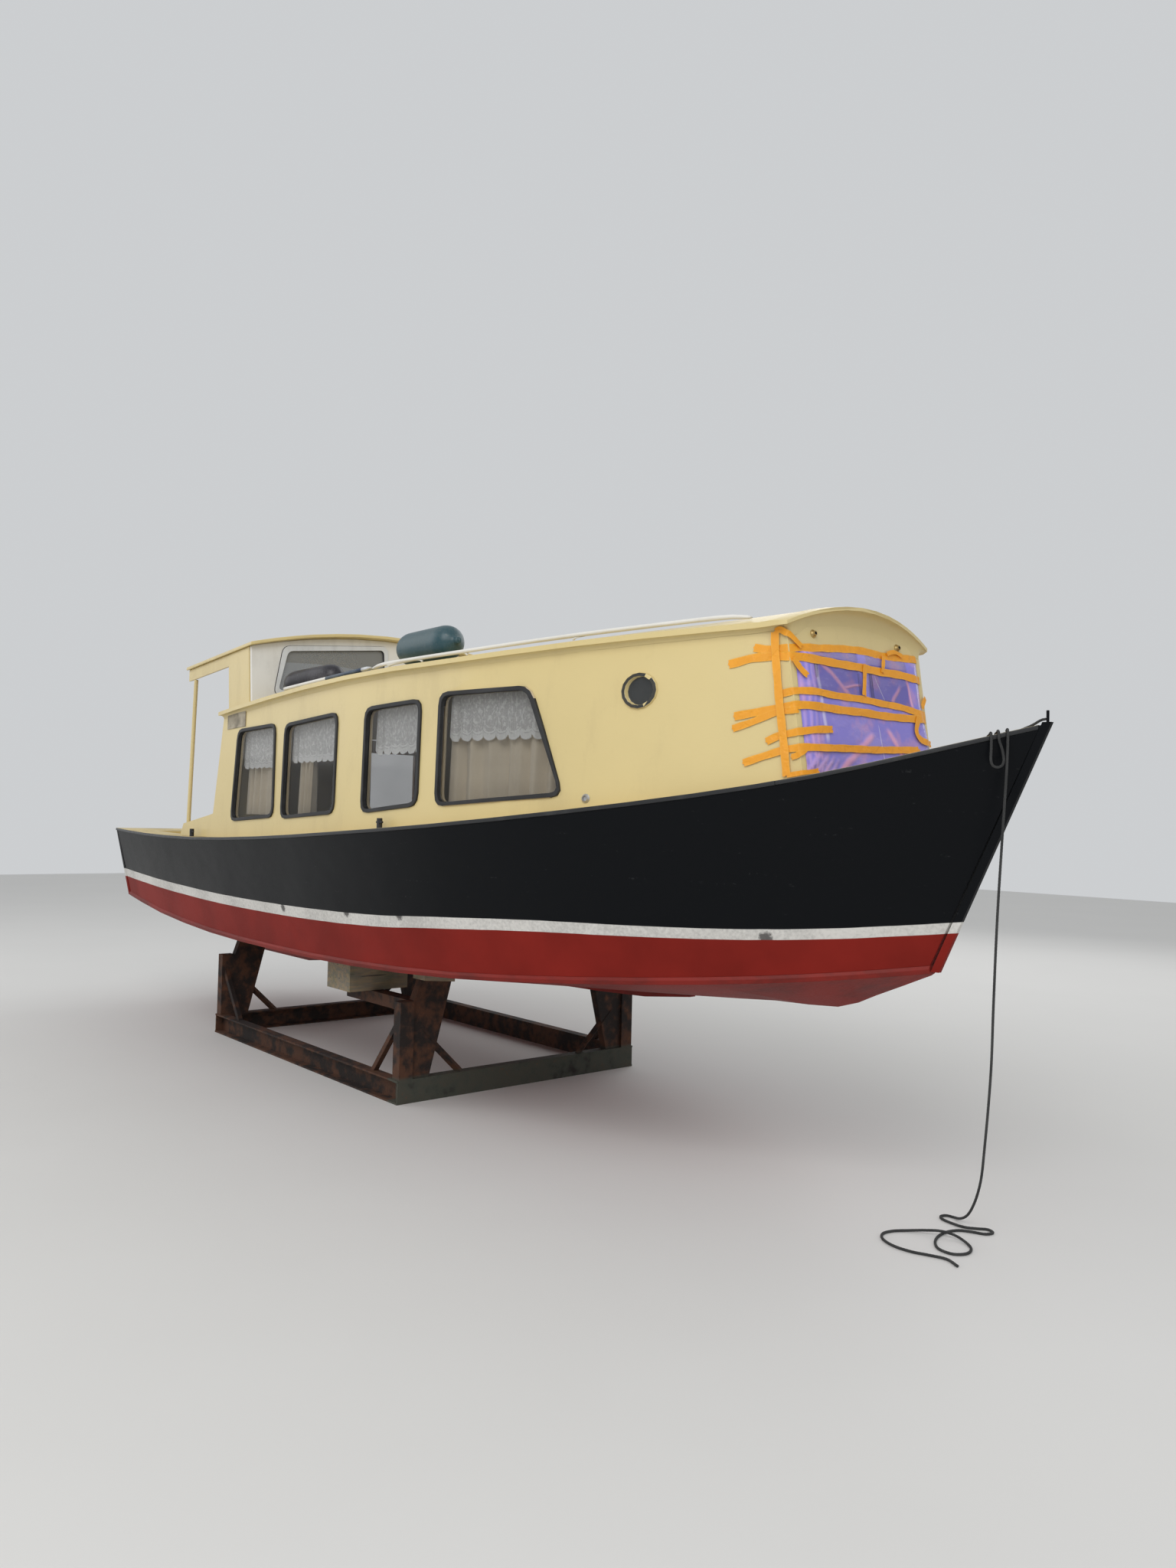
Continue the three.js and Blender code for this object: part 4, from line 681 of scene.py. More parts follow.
@dataclass(frozen=True)
class Film(Finish):
    """Thin violet masking film with painted pink glints along its few broad folds.

    folds and lines give the two ends of each painted glint and each painted
    highlight line as shares of the width and the height, and its half-width. panes
    are the shares of the width that the front windows lie behind, down to pane_foot
    as a share of the height. Its creases and pleats are painted paler, as painted highlight.
    """

    # deep is the film's own violet; pale, pink and highlight are painted highlight on its creases, pleats,
    # folds and lines, and pink also tints patches at random.
    deep: Colour = (0.30, 0.265, 0.84)
    pale: Colour = (0.52, 0.44, 0.92)
    pink: Colour = (0.86, 0.42, 0.60)
    bright: Colour = (0.80, 0.76, 0.98)
    wide: float = 1.045
    tall: float = 0.626
    folds: tuple[tuple[float, ...], ...] = (
        (0.15, 0.90, 0.37, 0.64, 0.012), (0.80, 0.76, 0.69, 0.57, 0.010),
        (0.50, 0.34, 0.24, 0.02, 0.016), (0.63, 0.38, 0.77, 0.12, 0.014),
        (0.33, 0.70, 0.47, 0.72, 0.006), (0.86, 0.88, 0.90, 0.60, 0.010),
    )
    lines: tuple[tuple[float, ...], ...] = (
        (0.56, 0.40, 0.565, 0.04, 0.003), (0.125, 0.88, 0.15, 0.26, 0.012),
        (0.60, 0.82, 0.66, 0.62, 0.003),
    )
    panes: tuple[tuple[float, float], ...] = ((0.11, 0.46), (0.53, 0.88))
    pane_foot: float = 0.59
    solid: float = 0.86
    thinner: float = 0.30
    specular: float = 0.35
    relief: float = 0.004

    def stroke(self, u: Sock, v: Sock, ends: tuple[float, ...]) -> Sock:
        """Mask that is 1 along a straight fold and fades beside it and past its ends."""
        x0, y0, x1, y1 = (c * (self.wide, self.tall)[i % 2] for i, c in enumerate(ends[:4]))
        long = math.hypot(x1 - x0, y1 - y0)
        ax, ay = (x1 - x0) / long, (y1 - y0) / long
        px, py = u * self.wide - x0, v * self.tall - y0
        beside = 1 - (px * ay - py * ax).size().over(ends[4], ends[4] * 1.6)
        along = px * ax + py * ay
        return beside * along.over(0.0, 0.05) * (1 - along.over(long, 0.05))

    def strokes(self, u: Sock, v: Sock, rows: Sequence[tuple[float, ...]]) -> Sock:
        """The strongest of several strokes at each place."""
        return reduce(Sock.most, [self.stroke(u, v, ends) for ends in rows])

    def over_panes(self, u: Sock, v: Sock) -> Sock:
        """Mask that is 1 where a window lies behind the film."""
        spans = [u.over(x0, 0.02) * (1 - u.over(x1, 0.02)) for x0, x1 in self.panes]
        return reduce(Sock.most, spans) * v.over(self.pane_foot, 0.03)

    def shade(self, g: Graph) -> None:
        """Fills the material's node tree."""
        u, v, _ = g.axes(g.flat)
        bend = g.noise(3.0, 2)
        wu, wv = u + (bend - 0.5) * 0.05, v + (g.noise(4.0, 2) - 0.5) * 0.07
        glint, bright = self.strokes(wu, wv, self.folds), self.strokes(wu, wv, self.lines)
        margin = 1 - wu.over(0.10, 0.12)
        fan = 1 - (wu + wv * 1.1).over(0.30, 0.16)
        pleat = (wu * 190 + bend * 9).wave() * 0.5 + 0.5
        spread = ((wu * 0.9 - wv * 0.55) * 120 + bend * 7).wave() * 0.5 + 0.5
        folded = (margin * pleat).most(fan * spread)
        crease = g.streaks((1, 5, 11), 3, (0.7, 0, 0))
        soft = crease.over(0.56, 0.22)
        # Painted highlight: paler over the soft creases and the pleats, then pink painted glints along the
        # folds.
        tone = g.mix(soft * 0.35 + folded * 0.45, self.deep, self.pale)
        tone = g.mix((glint * 0.75).most(folded * 0.5 * crease), tone, self.pink)
        tone = g.mix(g.noise(7, 3).over(0.58, 0.16) * 0.35, tone, self.pink)
        # Painted highlight lines.
        tone = g.mix(bright * 0.6, tone, self.bright)
        veil = glint.most(bright).most(folded) * 0.12 + self.solid
        g.set(Base_Color=tone, Roughness=soft * 0.12 + 0.2, Specular_IOR_Level=self.specular)
        g.set(Alpha=veil - self.over_panes(u, v) * self.thinner)
        g.bump(glint + bright * 0.6 + folded * 0.7 + soft * 0.5, self.relief, 0.7)


@dataclass(frozen=True)
class TapePaper(Finish):
    """Crinkled orange masking tape, paler along its edges, with painted shade along its crinkles."""

    colour: Colour = (0.86, 0.34, 0.008)
    pale: Colour = (0.90, 0.47, 0.05)

    def shade(self, g: Graph) -> None:
        """Fills the material's node tree."""
        _, v, _ = g.axes(g.flat)
        crepe = g.streaks((150, 150, 60), 4)
        crease = g.noise(9, 3)
        edge = (v - 0.5).size().over(0.42, 0.1)
        folds = (1 - (crease - 0.5).size() * 9).over(0.3, 0.5)
        tone = g.mix(edge * 0.5 + crepe * 0.25, self.colour, self.pale)
        # Painted shade: darker along the crinkles.
        tone = g.mix(folds * 0.15, tone, times(self.colour, 0.72))
        g.set(Base_Color=tone, Roughness=crepe * 0.15 + 0.46)
        g.bump(crepe * 0.3 + folds, 0.0016, 0.8)


@dataclass(frozen=True)
class Vinyl(Finish):
    """Inflated vinyl with scuffs and a dusty top."""

    colour: Colour = (0.02, 0.10, 0.14)
    dust: Colour = (0.20, 0.24, 0.24)
    rough: float = 0.3

    def shade(self, g: Graph) -> None:
        """Fills the material's node tree."""
        broad, speck = g.noise(6, 4), g.noise(90, 4)
        scuff = g.streaks((60, 12, 60), 4, (0.2, 0.4, 0.7)).over(0.66, 0.05)
        film = (broad * 0.6 + speck * 0.4).over(0.54, 0.25) * 0.4
        tone = g.mix(film, self.colour, self.dust)
        g.set(Base_Color=g.mix(scuff * 0.4, tone, self.dust), Roughness=film * 0.3 + speck * 0.1 + self.rough)
        g.bump(speck * 0.3 + broad, 0.0012, 0.5)


@dataclass(frozen=True)
class Strands(Finish):
    """Yarn of a laid rope, slanting across each strand on the UV map."""

    colour: Colour = (0.022, 0.023, 0.024)
    pale: Colour = (0.10, 0.10, 0.098)

    def shade(self, g: Graph) -> None:
        """Fills the material's node tree."""
        u, v, _ = g.axes(g.flat)
        yarn = (u * 95 + v * 2600).wave() * 0.5 + 0.5
        fuzz, worn = g.noise(420, 3), g.noise(9, 4)
        tone = g.mix(yarn * 0.4 + fuzz * 0.3 + worn.over(0.55, 0.3) * 0.3, self.colour, self.pale)
        g.set(Base_Color=tone, Roughness=fuzz * 0.15 + 0.8)
        g.bump(yarn + fuzz * 0.8, 0.0009, 0.9)


@dataclass(frozen=True)
class EngineEnamel(Finish):
    """Green engine enamel, oily in patches."""

    colour: Colour = (0.03, 0.10, 0.065)
    oil: Colour = (0.012, 0.011, 0.009)

    def shade(self, g: Graph) -> None:
        """Fills the material's node tree."""
        oil, speck = g.noise(6, 5).over(0.5, 0.25), g.noise(80, 3)
        g.set(Base_Color=g.mix(oil * 0.8, self.colour, self.oil), Roughness=speck * 0.2 + 0.35)
        g.bump(speck, 0.0008, 0.4)


@dataclass(frozen=True)
class StudioFloor(Finish):
    """Pale floor of the studio."""

    dark: Colour = (0.66, 0.65, 0.63)
    light: Colour = (0.70, 0.69, 0.67)

    def shade(self, g: Graph) -> None:
        """Fills the material's node tree."""
        broad = g.noise(0.6, 3)
        g.set(Base_Color=g.mix(broad, self.dark, self.light), Roughness=broad * 0.1 + 0.7)


CREAM = Paint("cream_paint", "cream", colour=(0.71, 0.57, 0.265), grime=(0.44, 0.33, 0.17), amount=0.14)
WHITE = Paint("white_paint", "white", colour=(0.76, 0.74, 0.69), grime=(0.40, 0.36, 0.30), amount=0.2)
BLACK = Paint("black_paint", "topside", colour=(0.0060, 0.0068, 0.0082),
              grime=(0.04, 0.04, 0.04), amount=0.4)
LINING = Paint("cabin_lining", "cream", colour=(0.60, 0.50, 0.34), amount=0.2, gloss=0.1)
RED = BottomPaint("red_antifouling", "bottom")
DECK = DeckPaint("nonslip_deck", "cream")
RUBBER = Rubber("window_rubber", "rubber")
POST_BLACK = Rubber("post_black", "rubber", colour=(0.010, 0.010, 0.012), rough=0.36)
GLASS = Glass("window_glass", "rubber")
SHIELD_FRAME = Paint("windshield_frame_paint", "alloy", colour=(0.66, 0.67, 0.67),
                     grime=(0.2, 0.2, 0.2), amount=0.2)
SHIELD_GLASS = Glass("windshield_glass", "alloy", tint=(0.20, 0.21, 0.21), clear=0.35)
PORTHOLE_GLASS = Glass("porthole_glass", "cream", tint=(0.014, 0.018, 0.020), clear=0.25)
ALLOY = Metal("window_alloy", "alloy", colour=(0.70, 0.71, 0.72), dull=(0.48, 0.48, 0.47), rough=0.34)
BRONZE = Metal("propeller_bronze", "bronze", colour=(0.56, 0.36, 0.13), dull=(0.22, 0.17, 0.09))
BRASS = Metal("socket_brass", "bronze", colour=(0.60, 0.43, 0.17), dull=(0.30, 0.22, 0.10), rough=0.26)
PEWTER = Metal("plate_pewter", "bronze", colour=(0.42, 0.37, 0.28), dull=(0.24, 0.21, 0.16),
               rough=0.45, metal=0.6)
STEEL = Metal("fitting_steel", "alloy", colour=(0.60, 0.60, 0.60), dull=(0.40, 0.40, 0.40), rough=0.25)
MAHOGANY = Wood("varnished_mahogany", "wood", grain=(42, 42, 3))
WHEEL_WOOD = Wood("wheel_wood", "wood", grain=(30, 9, 9), varnish=0.8)
SOLE_WOOD = Wood("sole_boards", "wood", pale=(0.36, 0.23, 0.12), dark=(0.21, 0.12, 0.06),
                 grain=(2.5, 36, 36), varnish=0.15, rough=0.5, board=0.09)
TIMBER = OldTimber("cradle_timber", "timber")
RUST = Rust("rusty_steel", "rust")
DRAPE_CLOTH = Cloth("beige_drape", "cloth")
LACE = Lace("lace_net", "cloth")
FILM = Film("violet_film", "film")
TAPE = TapePaper("orange_tape", "film")
BLUE_VINYL = Vinyl("teal_vinyl", "blueVinyl", colour=(0.019, 0.066, 0.082), dust=(0.12, 0.15, 0.15))
BLACK_VINYL = Vinyl("black_vinyl", "blackVinyl", colour=(0.012, 0.011, 0.016), dust=(0.13, 0.12, 0.14))
ROPE_YARN = Strands("black_rope", "rope")
ENAMEL = EngineEnamel("engine_enamel", "engine")
GRIP_BLUE = Vinyl("pole_grip", "blueVinyl", colour=(0.016, 0.035, 0.075))


# Modelling helpers

def alone(obj: Any) -> Any:
    """Makes a piece the only selected one, and active."""
    bpy.ops.object.select_all(action="DESELECT")
    obj.select_set(True)
    bpy.context.view_layer.objects.active = obj
    return obj


def in_edit(obj: Any, work: Callable[[], None], everything: bool = True) -> None:
    """Runs edit-mode operators on a piece.

    Args:
        obj: the piece.
        work: the operators to run.
        everything: selects all of the mesh first.
    """
    alone(obj)
    bpy.ops.object.mode_set(mode="EDIT")
    if everything:
        bpy.ops.mesh.select_all(action="SELECT")
    work()
    bpy.ops.object.mode_set(mode="OBJECT")


def close_up(obj: Any, near: float = 2e-5) -> None:
    """Merges doubled points and turns the faces outwards."""

    def work() -> None:
        """The two operators."""
        bpy.ops.mesh.remove_doubles(threshold=near)
        bpy.ops.mesh.normals_make_consistent(inside=False)

    in_edit(obj, work)


def modify(obj: Any, kind: str, **settings: Any) -> None:
    """Adds a modifier with its settings and applies it."""
    alone(obj)
    modifier = obj.modifiers.new(kind.lower(), kind)
    for name, value in settings.items():
        setattr(modifier, name, value)
    bpy.ops.object.modifier_apply(modifier=modifier.name)


def smooth(obj: Any, degrees: float = 35) -> None:
    """Shades a piece smooth up to an angle between faces."""
    alone(obj)
    bpy.ops.object.shade_smooth_by_angle(angle=math.radians(degrees))


def ease(obj: Any, width: float, segments: int = 2, degrees: float = 35) -> None:
    """Rounds the sharp edges of a piece and shades it."""
    modify(
        obj, "BEVEL", width=width, segments=segments, limit_method="ANGLE",
        angle_limit=math.radians(degrees), use_clamp_overlap=True, harden_normals=False,
    )
    smooth(obj, degrees)
    modify(obj, "WEIGHTED_NORMAL", keep_sharp=True, weight=60)


def finished(obj: Any, name: str, finishes: Sequence[Finish], body: Body = Body.BOAT) -> Any:
    """Names a piece, gives it its finishes and puts it on its body.

    Args:
        obj: the piece, at the origin with its place in its mesh.
        name: the piece's name.
        finishes: one finish for each of its material slots.
        body: the body that it rides on.

    Returns:
        The piece.
    """
    obj.name = name
    obj.data.name = name
    obj.data.materials.clear()
    for finish in finishes:
        obj.data.materials.append(finish.material())
    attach(obj, body.value)
    return obj


def settle(obj: Any, matrix: Matrix) -> Any:
    """Puts a shape made at the origin in its place, in its mesh."""
    obj.data.transform(matrix)
    obj.data.update()
    return obj


def joined(parts: Sequence[Any]) -> Any:
    """Joins pieces into the first of them."""
    alone(parts[0])
    for part in parts[1:]:
        part.select_set(True)
    bpy.ops.object.join()
    return parts[0]


def pick(obj: Any, test: Callable[[Any], bool]) -> None:
    """Selects only the faces of a piece that pass a test."""

    def clear() -> None:
        """Drops what is selected and turns to faces."""
        bpy.ops.mesh.select_all(action="DESELECT")
        bpy.ops.mesh.select_mode(type="FACE")

    in_edit(obj, clear, everything=False)
    for face in obj.data.polygons:
        face.select = test(face)


def woven(columns: int, rows: int, place: Callable[[float, float], Vector]) -> Any:
    """A grid whose points are placed by a function of its UV map.

    Args:
        columns: faces along u.
        rows: faces along v.
        place: the point for a pair u, v from 0 to 1.

    Returns:
        The piece.
    """
    bpy.ops.object.select_all(action="DESELECT")
    bpy.ops.mesh.primitive_grid_add(x_subdivisions=columns, y_subdivisions=rows, size=2, calc_uvs=True)
    obj = bpy.context.object
    for vertex in obj.data.vertices:
        vertex.co = place((vertex.co.x + 1) / 2, (vertex.co.y + 1) / 2)
    obj.data.update()
    return obj


def turned(profile: Sequence[tuple[float, float]], sides: int = 24) -> Any:
    """A turned shape about +Z, drawn up from a circle by extrusion.

    Args:
        profile: pairs of height and radius from one end to the other.
        sides: faces round the axis.

    Returns:
        The piece, closed at both ends.
    """
    bpy.ops.object.select_all(action="DESELECT")
    height, radius = profile[0]
    bpy.ops.mesh.primitive_circle_add(vertices=sides, radius=radius, fill_type="NGON")
    obj = bpy.context.object
    settle(obj, Matrix.Translation((0, 0, height)))

    def work() -> None:
        """Extrudes and resizes ring after ring."""
        last_height, last_radius = height, radius
        for z, r in profile[1:]:
            bpy.ops.mesh.extrude_region_move(TRANSFORM_OT_translate={"value": (0, 0, z - last_height)})
            bpy.ops.transform.resize(value=(r / last_radius, r / last_radius, 1))
            last_height, last_radius = z, r

    in_edit(obj, work)
    close_up(obj)
    return obj


def towards(start: Vector, end: Vector) -> Matrix:
    """Matrix that takes the origin to a point and +Z towards another."""
    return Matrix.Translation(start) @ (end - start).to_track_quat("Z", "Y").to_matrix().to_4x4()


def centripetal(points: Sequence[Point], steps: int) -> list[Vector]:
    """A centripetal Catmull-Rom curve through points.

    Args:
        points: the points that it passes through.
        steps: parts between two points.

    Returns:
        Points along the curve.
    """
    row = [Vector(p) for p in points]
    row = [row[0] * 2 - row[1], *row, row[-1] * 2 - row[-2]]
    out = []
    for a, b, c, d in zip(row, row[1:], row[2:], row[3:]):
        gaps = [math.sqrt((q - p).length) for p, q in ((a, b), (b, c), (c, d))]
        knots = [0, gaps[0], gaps[0] + gaps[1], sum(gaps)]
        for k in range(steps):
            t = knots[1] + gaps[1] * k / steps
            first = [
                p.lerp(q, (t - knots[i]) / (knots[i + 1] - knots[i]))
                for i, (p, q) in enumerate(((a, b), (b, c), (c, d)))
            ]
            second = [
                first[i].lerp(first[i + 1], (t - knots[i]) / (knots[i + 2] - knots[i]))
                for i in range(2)
            ]
            out.append(second[0].lerp(second[1], (t - knots[1]) / gaps[1]))
    return [*out, row[-2]]


def even(line: Sequence[Vector], step: float) -> list[Vector]:
    """The same line with its points a set distance apart."""
    lengths = [0.0]
    for p, q in zip(line, line[1:]):
        lengths.append(lengths[-1] + (q - p).length)
    count = max(int(round(lengths[-1] / step)), 2)
    out, i = [], 0
    for k in range(count + 1):
        at = lengths[-1] * k / count
        while i < len(line) - 2 and lengths[i + 1] < at:
            i += 1
        out.append(line[i].lerp(line[i + 1], (at - lengths[i]) / max(lengths[i + 1] - lengths[i], 1e-9)))
    return out


def frames(line: Sequence[Vector]) -> list[tuple[Vector, Vector, Vector]]:
    """Point, normal and binormal along a line, carried without twist."""
    out = []
    normal = None
    for i, point in enumerate(line):
        ahead = (line[min(i + 1, len(line) - 1)] - line[max(i - 1, 0)]).normalized()
        if normal is None:
            normal = ahead.orthogonal().normalized()
        normal = (normal - ahead * normal.dot(ahead)).normalized()
        out.append((point, normal, ahead.cross(normal)))
    return out


def tube(line: Sequence[Vector], radius: float, sides: int = 12,
         lobes: Callable[[float, float], float] | None = None) -> Any:
    """A closed tube along a line.

    Args:
        line: the points of its centreline.
        radius: its radius.
        sides: faces round it.
        lobes: factor on the radius for an angle and a length along the line.

    Returns:
        The piece, with u along and v round it.
    """
    rails = frames(line)
    count = len(line)
    step = sum((q - p).length for p, q in zip(line, line[1:])) / (count - 1)

    def place(u: float, v: float) -> Vector:
        """Point of the tube's skin, with both ends closed to a point."""
        k = int(round(u * (count + 1)))
        i = min(max(k - 1, 0), count - 1)
        centre, normal, side = rails[i]
        angle = v * math.tau
        reach = radius * (lobes(angle, i * step) if lobes else 1.0) * (0 < k <= count)
        return centre + (normal * math.cos(angle) + side * math.sin(angle)) * reach

    obj = woven(count + 1, sides, place)
    close_up(obj)
    return obj


# Finding places on the boat

def sight(*nodes: str) -> BVHTree:
    """A tree for casting rays at the solids of some nodes, or at pieces made so far."""
    points, faces = [], []
    for node in nodes:
        mesh = (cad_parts.get(node) or bpy.data.objects[node]).data
        base = len(points)
        points.extend(v.co.copy() for v in mesh.vertices)
        faces.extend([base + i for i in p.vertices] for p in mesh.polygons)
    return BVHTree.FromPolygons(points, faces)


def met(tree: BVHTree, pixel: Pixel) -> list[tuple[Vector, Vector]]:
    """The first point and outward normal on the line of sight through a pixel, if any."""
    start, along = PHOTO.ray(pixel)
    point, normal, _, _ = tree.ray_cast(start, along)
    return [] if point is None else [(point, normal if normal.dot(along) < 0 else -normal)]


def seen(tree: BVHTree, pixel: Pixel) -> tuple[Vector, Vector]:
    """Point and outward normal where the line of sight through a pixel meets a tree."""
    return met(tree, pixel)[0]


def struck(tree: BVHTree, start: Point, along: Point) -> tuple[Vector, Vector]:
    """Point and normal where a ray from a point meets a tree."""
    point, normal, _, _ = tree.ray_cast(Vector(start), Vector(along))
    if point is None:
        raise ValueError(f"no surface along {along} from {start}")
    return point, normal if normal.dot(Vector(along)) < 0 else -normal


# Pieces that keep the CAD shape

@dataclass
class Skin:
    """A copy of a node with its seams merged, its edges rounded and its finish on.

    sort gives the number of the finish of a face from its middle and its normal.
    merge joins faces that lie in one plane. A round piece with openings does
    without it, because subdivision would draw a ring of faces into its middle.
    """

    node: str
    finishes: tuple[Finish, ...]
    edge: float = 0.002
    body: Body = Body.BOAT
    degrees: float = 35
    rounds: int = 0
    fatten: float = 0.0
    sort: Callable[[Vector, Vector], int] | None = None
    merge: bool = True

    def build(self) -> Any:
        """Makes the piece and hides the node that it stands for."""
        obj = bpy.data.objects.new(self.node + "_skin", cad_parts[self.node].data.copy())
        bpy.context.scene.collection.objects.link(obj)
        alone(obj)
        if obj.data.has_custom_normals:
            bpy.ops.mesh.customdata_custom_splitnormals_clear()
        close_up(obj)
        if self.merge:
            in_edit(obj, lambda: bpy.ops.mesh.dissolve_limited(angle_limit=math.radians(0.6)))
        finished(obj, obj.name, self.finishes, self.body)
        for face in obj.data.polygons:
            face.material_index = self.sort(face.center, face.normal) if self.sort else 0
        if self.rounds:
            modify(obj, "SUBSURF", levels=self.rounds, render_levels=self.rounds)
        if self.fatten:
            modify(obj, "DISPLACE", strength=self.fatten, mid_level=0.0)
        if self.edge:
            ease(obj, self.edge, 2, self.degrees)
        else:
            smooth(obj, self.degrees)
        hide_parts(self.node)
        return obj


def pane_test(node: str, axis: int, width: float) -> Callable[[Vector, Vector], int]:
    """A rule that tells the pane of a window from the frame round it.

    Args:
        node: the window's node.
        axis: the axis that crosses the pane, 0 for X or 1 for Y.
        width: the frame's width.

    Returns:
        A rule that gives 1 on the pane and 0 on the frame.
    """
    along = 1 - axis
    points = [Vector((v.co[along], v.co.z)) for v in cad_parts[node].data.vertices]
    hull = [points[i] for i in convex_hull_2d(points)]

    def rule(middle: Vector, normal: Vector) -> int:
        """Tells one face."""
        here = Vector((middle[along], middle.z))
        near = width
        for a, b in zip(hull, [*hull[1:], hull[0]]):
            edge = b - a
            if edge.length > 1e-5:
                near = min(near, abs(edge.cross(here - a)) / edge.length)
        return int(abs(normal[axis]) > FACING and near > width * 0.88)

    return rule


def flat_top(middle: Vector, normal: Vector) -> int:
    """A rule that gives 1 on faces that look up and 0 on others."""
    return int(normal.z > FACING)


def layers(node: str, axis: int, pane: tuple[float, float], inboard: float,
           lip: float = 0.008) -> Callable[[Vector, Vector], int]:
    """A rule that tells a window's lip, its pane and what lies further in, by their depth.

    A surface that bends along the boat is fitted to the lip in a few rounds,
    and depths are taken from the part of the lip that stands out most.

    Args:
        node: the window's node.
        axis: the axis that crosses the pane, 0 for X or 1 for Y.
        pane: least and greatest depth of the pane behind the lip.
        inboard: depth behind the lip where the inner part begins.
        lip: depth within which a point counts as on the lip.

    Returns:
        A rule that gives 0 on the lip, 1 on the pane and 2 on the inner part.
    """
    points = [v.co.copy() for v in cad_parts[node].data.vertices]
    out = 1 if axis == 0 or points[0].y > 0 else -1
    middle = sum(points, Vector()) / len(points)
    surface, rim, edge = Vector((0, 0, 0, 0)), points, 0.0

    def terms(p: Vector) -> Vector:
        """The terms of the fitted surface at a place."""
        s = p[1 - axis] - middle[1 - axis]
        return Vector((1, s, p.z - middle.z, s * s))

    def height(p: Vector) -> float:
        """How far a place stands out from the fitted surface."""
        return out * (p[axis] - middle[axis]) - terms(p).dot(surface)

    for _ in range(6):
        rows = [(terms(p), out * (p[axis] - middle[axis])) for p in rim]
        spread = Matrix([[sum(t[i] * t[j] for t, _ in rows) for j in range(4)] for i in range(4)])
        surface = spread.inverted() @ Vector([sum(t[i] * h for t, h in rows) for i in range(4)])
        edge = max(height(p) for p in points)
        rim = [p for p in points if height(p) > edge - lip]

    def rule(here: Vector, normal: Vector) -> int:
        """Tells one face."""
        depth = edge - height(here)
        if abs(normal[axis]) > FACING and pane[0] < depth < pane[1]:
            return 1
        return 2 if depth > inboard else 0

    return rule


@dataclass
class Hull:
    """Plating, decks, keel, stem, rudder and propeller.

    post_places are the X of the mooring posts, post_reach their half-length and
    deck_probe the way ahead of a post to bare deck.
    """

    post_places: tuple[float, float] = (0.789, -2.117)
    post_reach: float = 0.06
    post_foot: float = 0.004
    deck_probe: float = 0.16
    over_all: float = 4.0
    stripe_marks: tuple[Pixel, ...] = ((521, 1195), (1000, 1225), (370, 1186), (452, 1191))

    def topsides(self) -> HullPaint:
        """The hull's paint, with the marks of the photograph."""
        tree = sight("hull_side_starboard", "hull_bottom")
        marks = tuple(tuple(seen(tree, pixel)[0]) for pixel in self.stripe_marks)
        return HullPaint("hull_paint", "topside", marks=marks)

    def deck_rule(self) -> Callable[[Vector, Vector], int]:
        """A rule for the faces of a side deck: 0 its edge, 1 its top, 2 a mooring post."""
        tree = sight("side_deck_starboard")
        tops = {}
        for x in self.post_places:
            above = (x + self.deck_probe, self.inside(tree, x), self.over_all)
            tops[x] = struck(tree, above, (0, 0, -1))[0].z

        def rule(middle: Vector, normal: Vector) -> int:
            """Tells one face."""
            for x, top in tops.items():
                if abs(middle.x - x) < self.post_reach and middle.z > top + self.post_foot:
                    return 2
            return flat_top(middle, normal)

        return rule

    def inside(self, tree: BVHTree, x: float) -> float:
        """A Y just inside the deck's edge at a place."""
        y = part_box("side_deck_starboard")[0].y
        down = Vector((0, 0, -1))
        while tree.ray_cast(Vector((x + self.deck_probe, y, self.over_all)), down)[0] is None:
            y += 0.005
        return y + 0.02

    def build(self) -> Iterator[Any]:
        """Builds the pieces one by one."""
        paint, rule = self.topsides(), self.deck_rule()
        yield Skin("hull_bottom", (RED,), 0.003).build()
        yield Skin("transom", (paint,), 0.003).build()
        yield Skin("stem_bar", (paint,), 0.0015).build()
        yield Skin("keel_skeg", (RED,), 0.003).build()
        yield Skin("foredeck", (BLACK, DECK), 0.004, sort=flat_top).build()
        yield Skin("aft_deck", (BLACK, DECK), 0.004, sort=flat_top).build()
        for side in Side:
            yield Skin(f"hull_side_{side.word}", (paint,), 0.0008).build()
            yield Skin(f"side_deck_{side.word}", (BLACK, DECK, POST_BLACK), 0.003, sort=rule).build()
        yield Skin("rudder", (RED,), 0.003, Body.RUDDER).build()
        yield Skin("propeller", (BRONZE,), 0.0012, Body.PROPELLER, degrees=50).build()


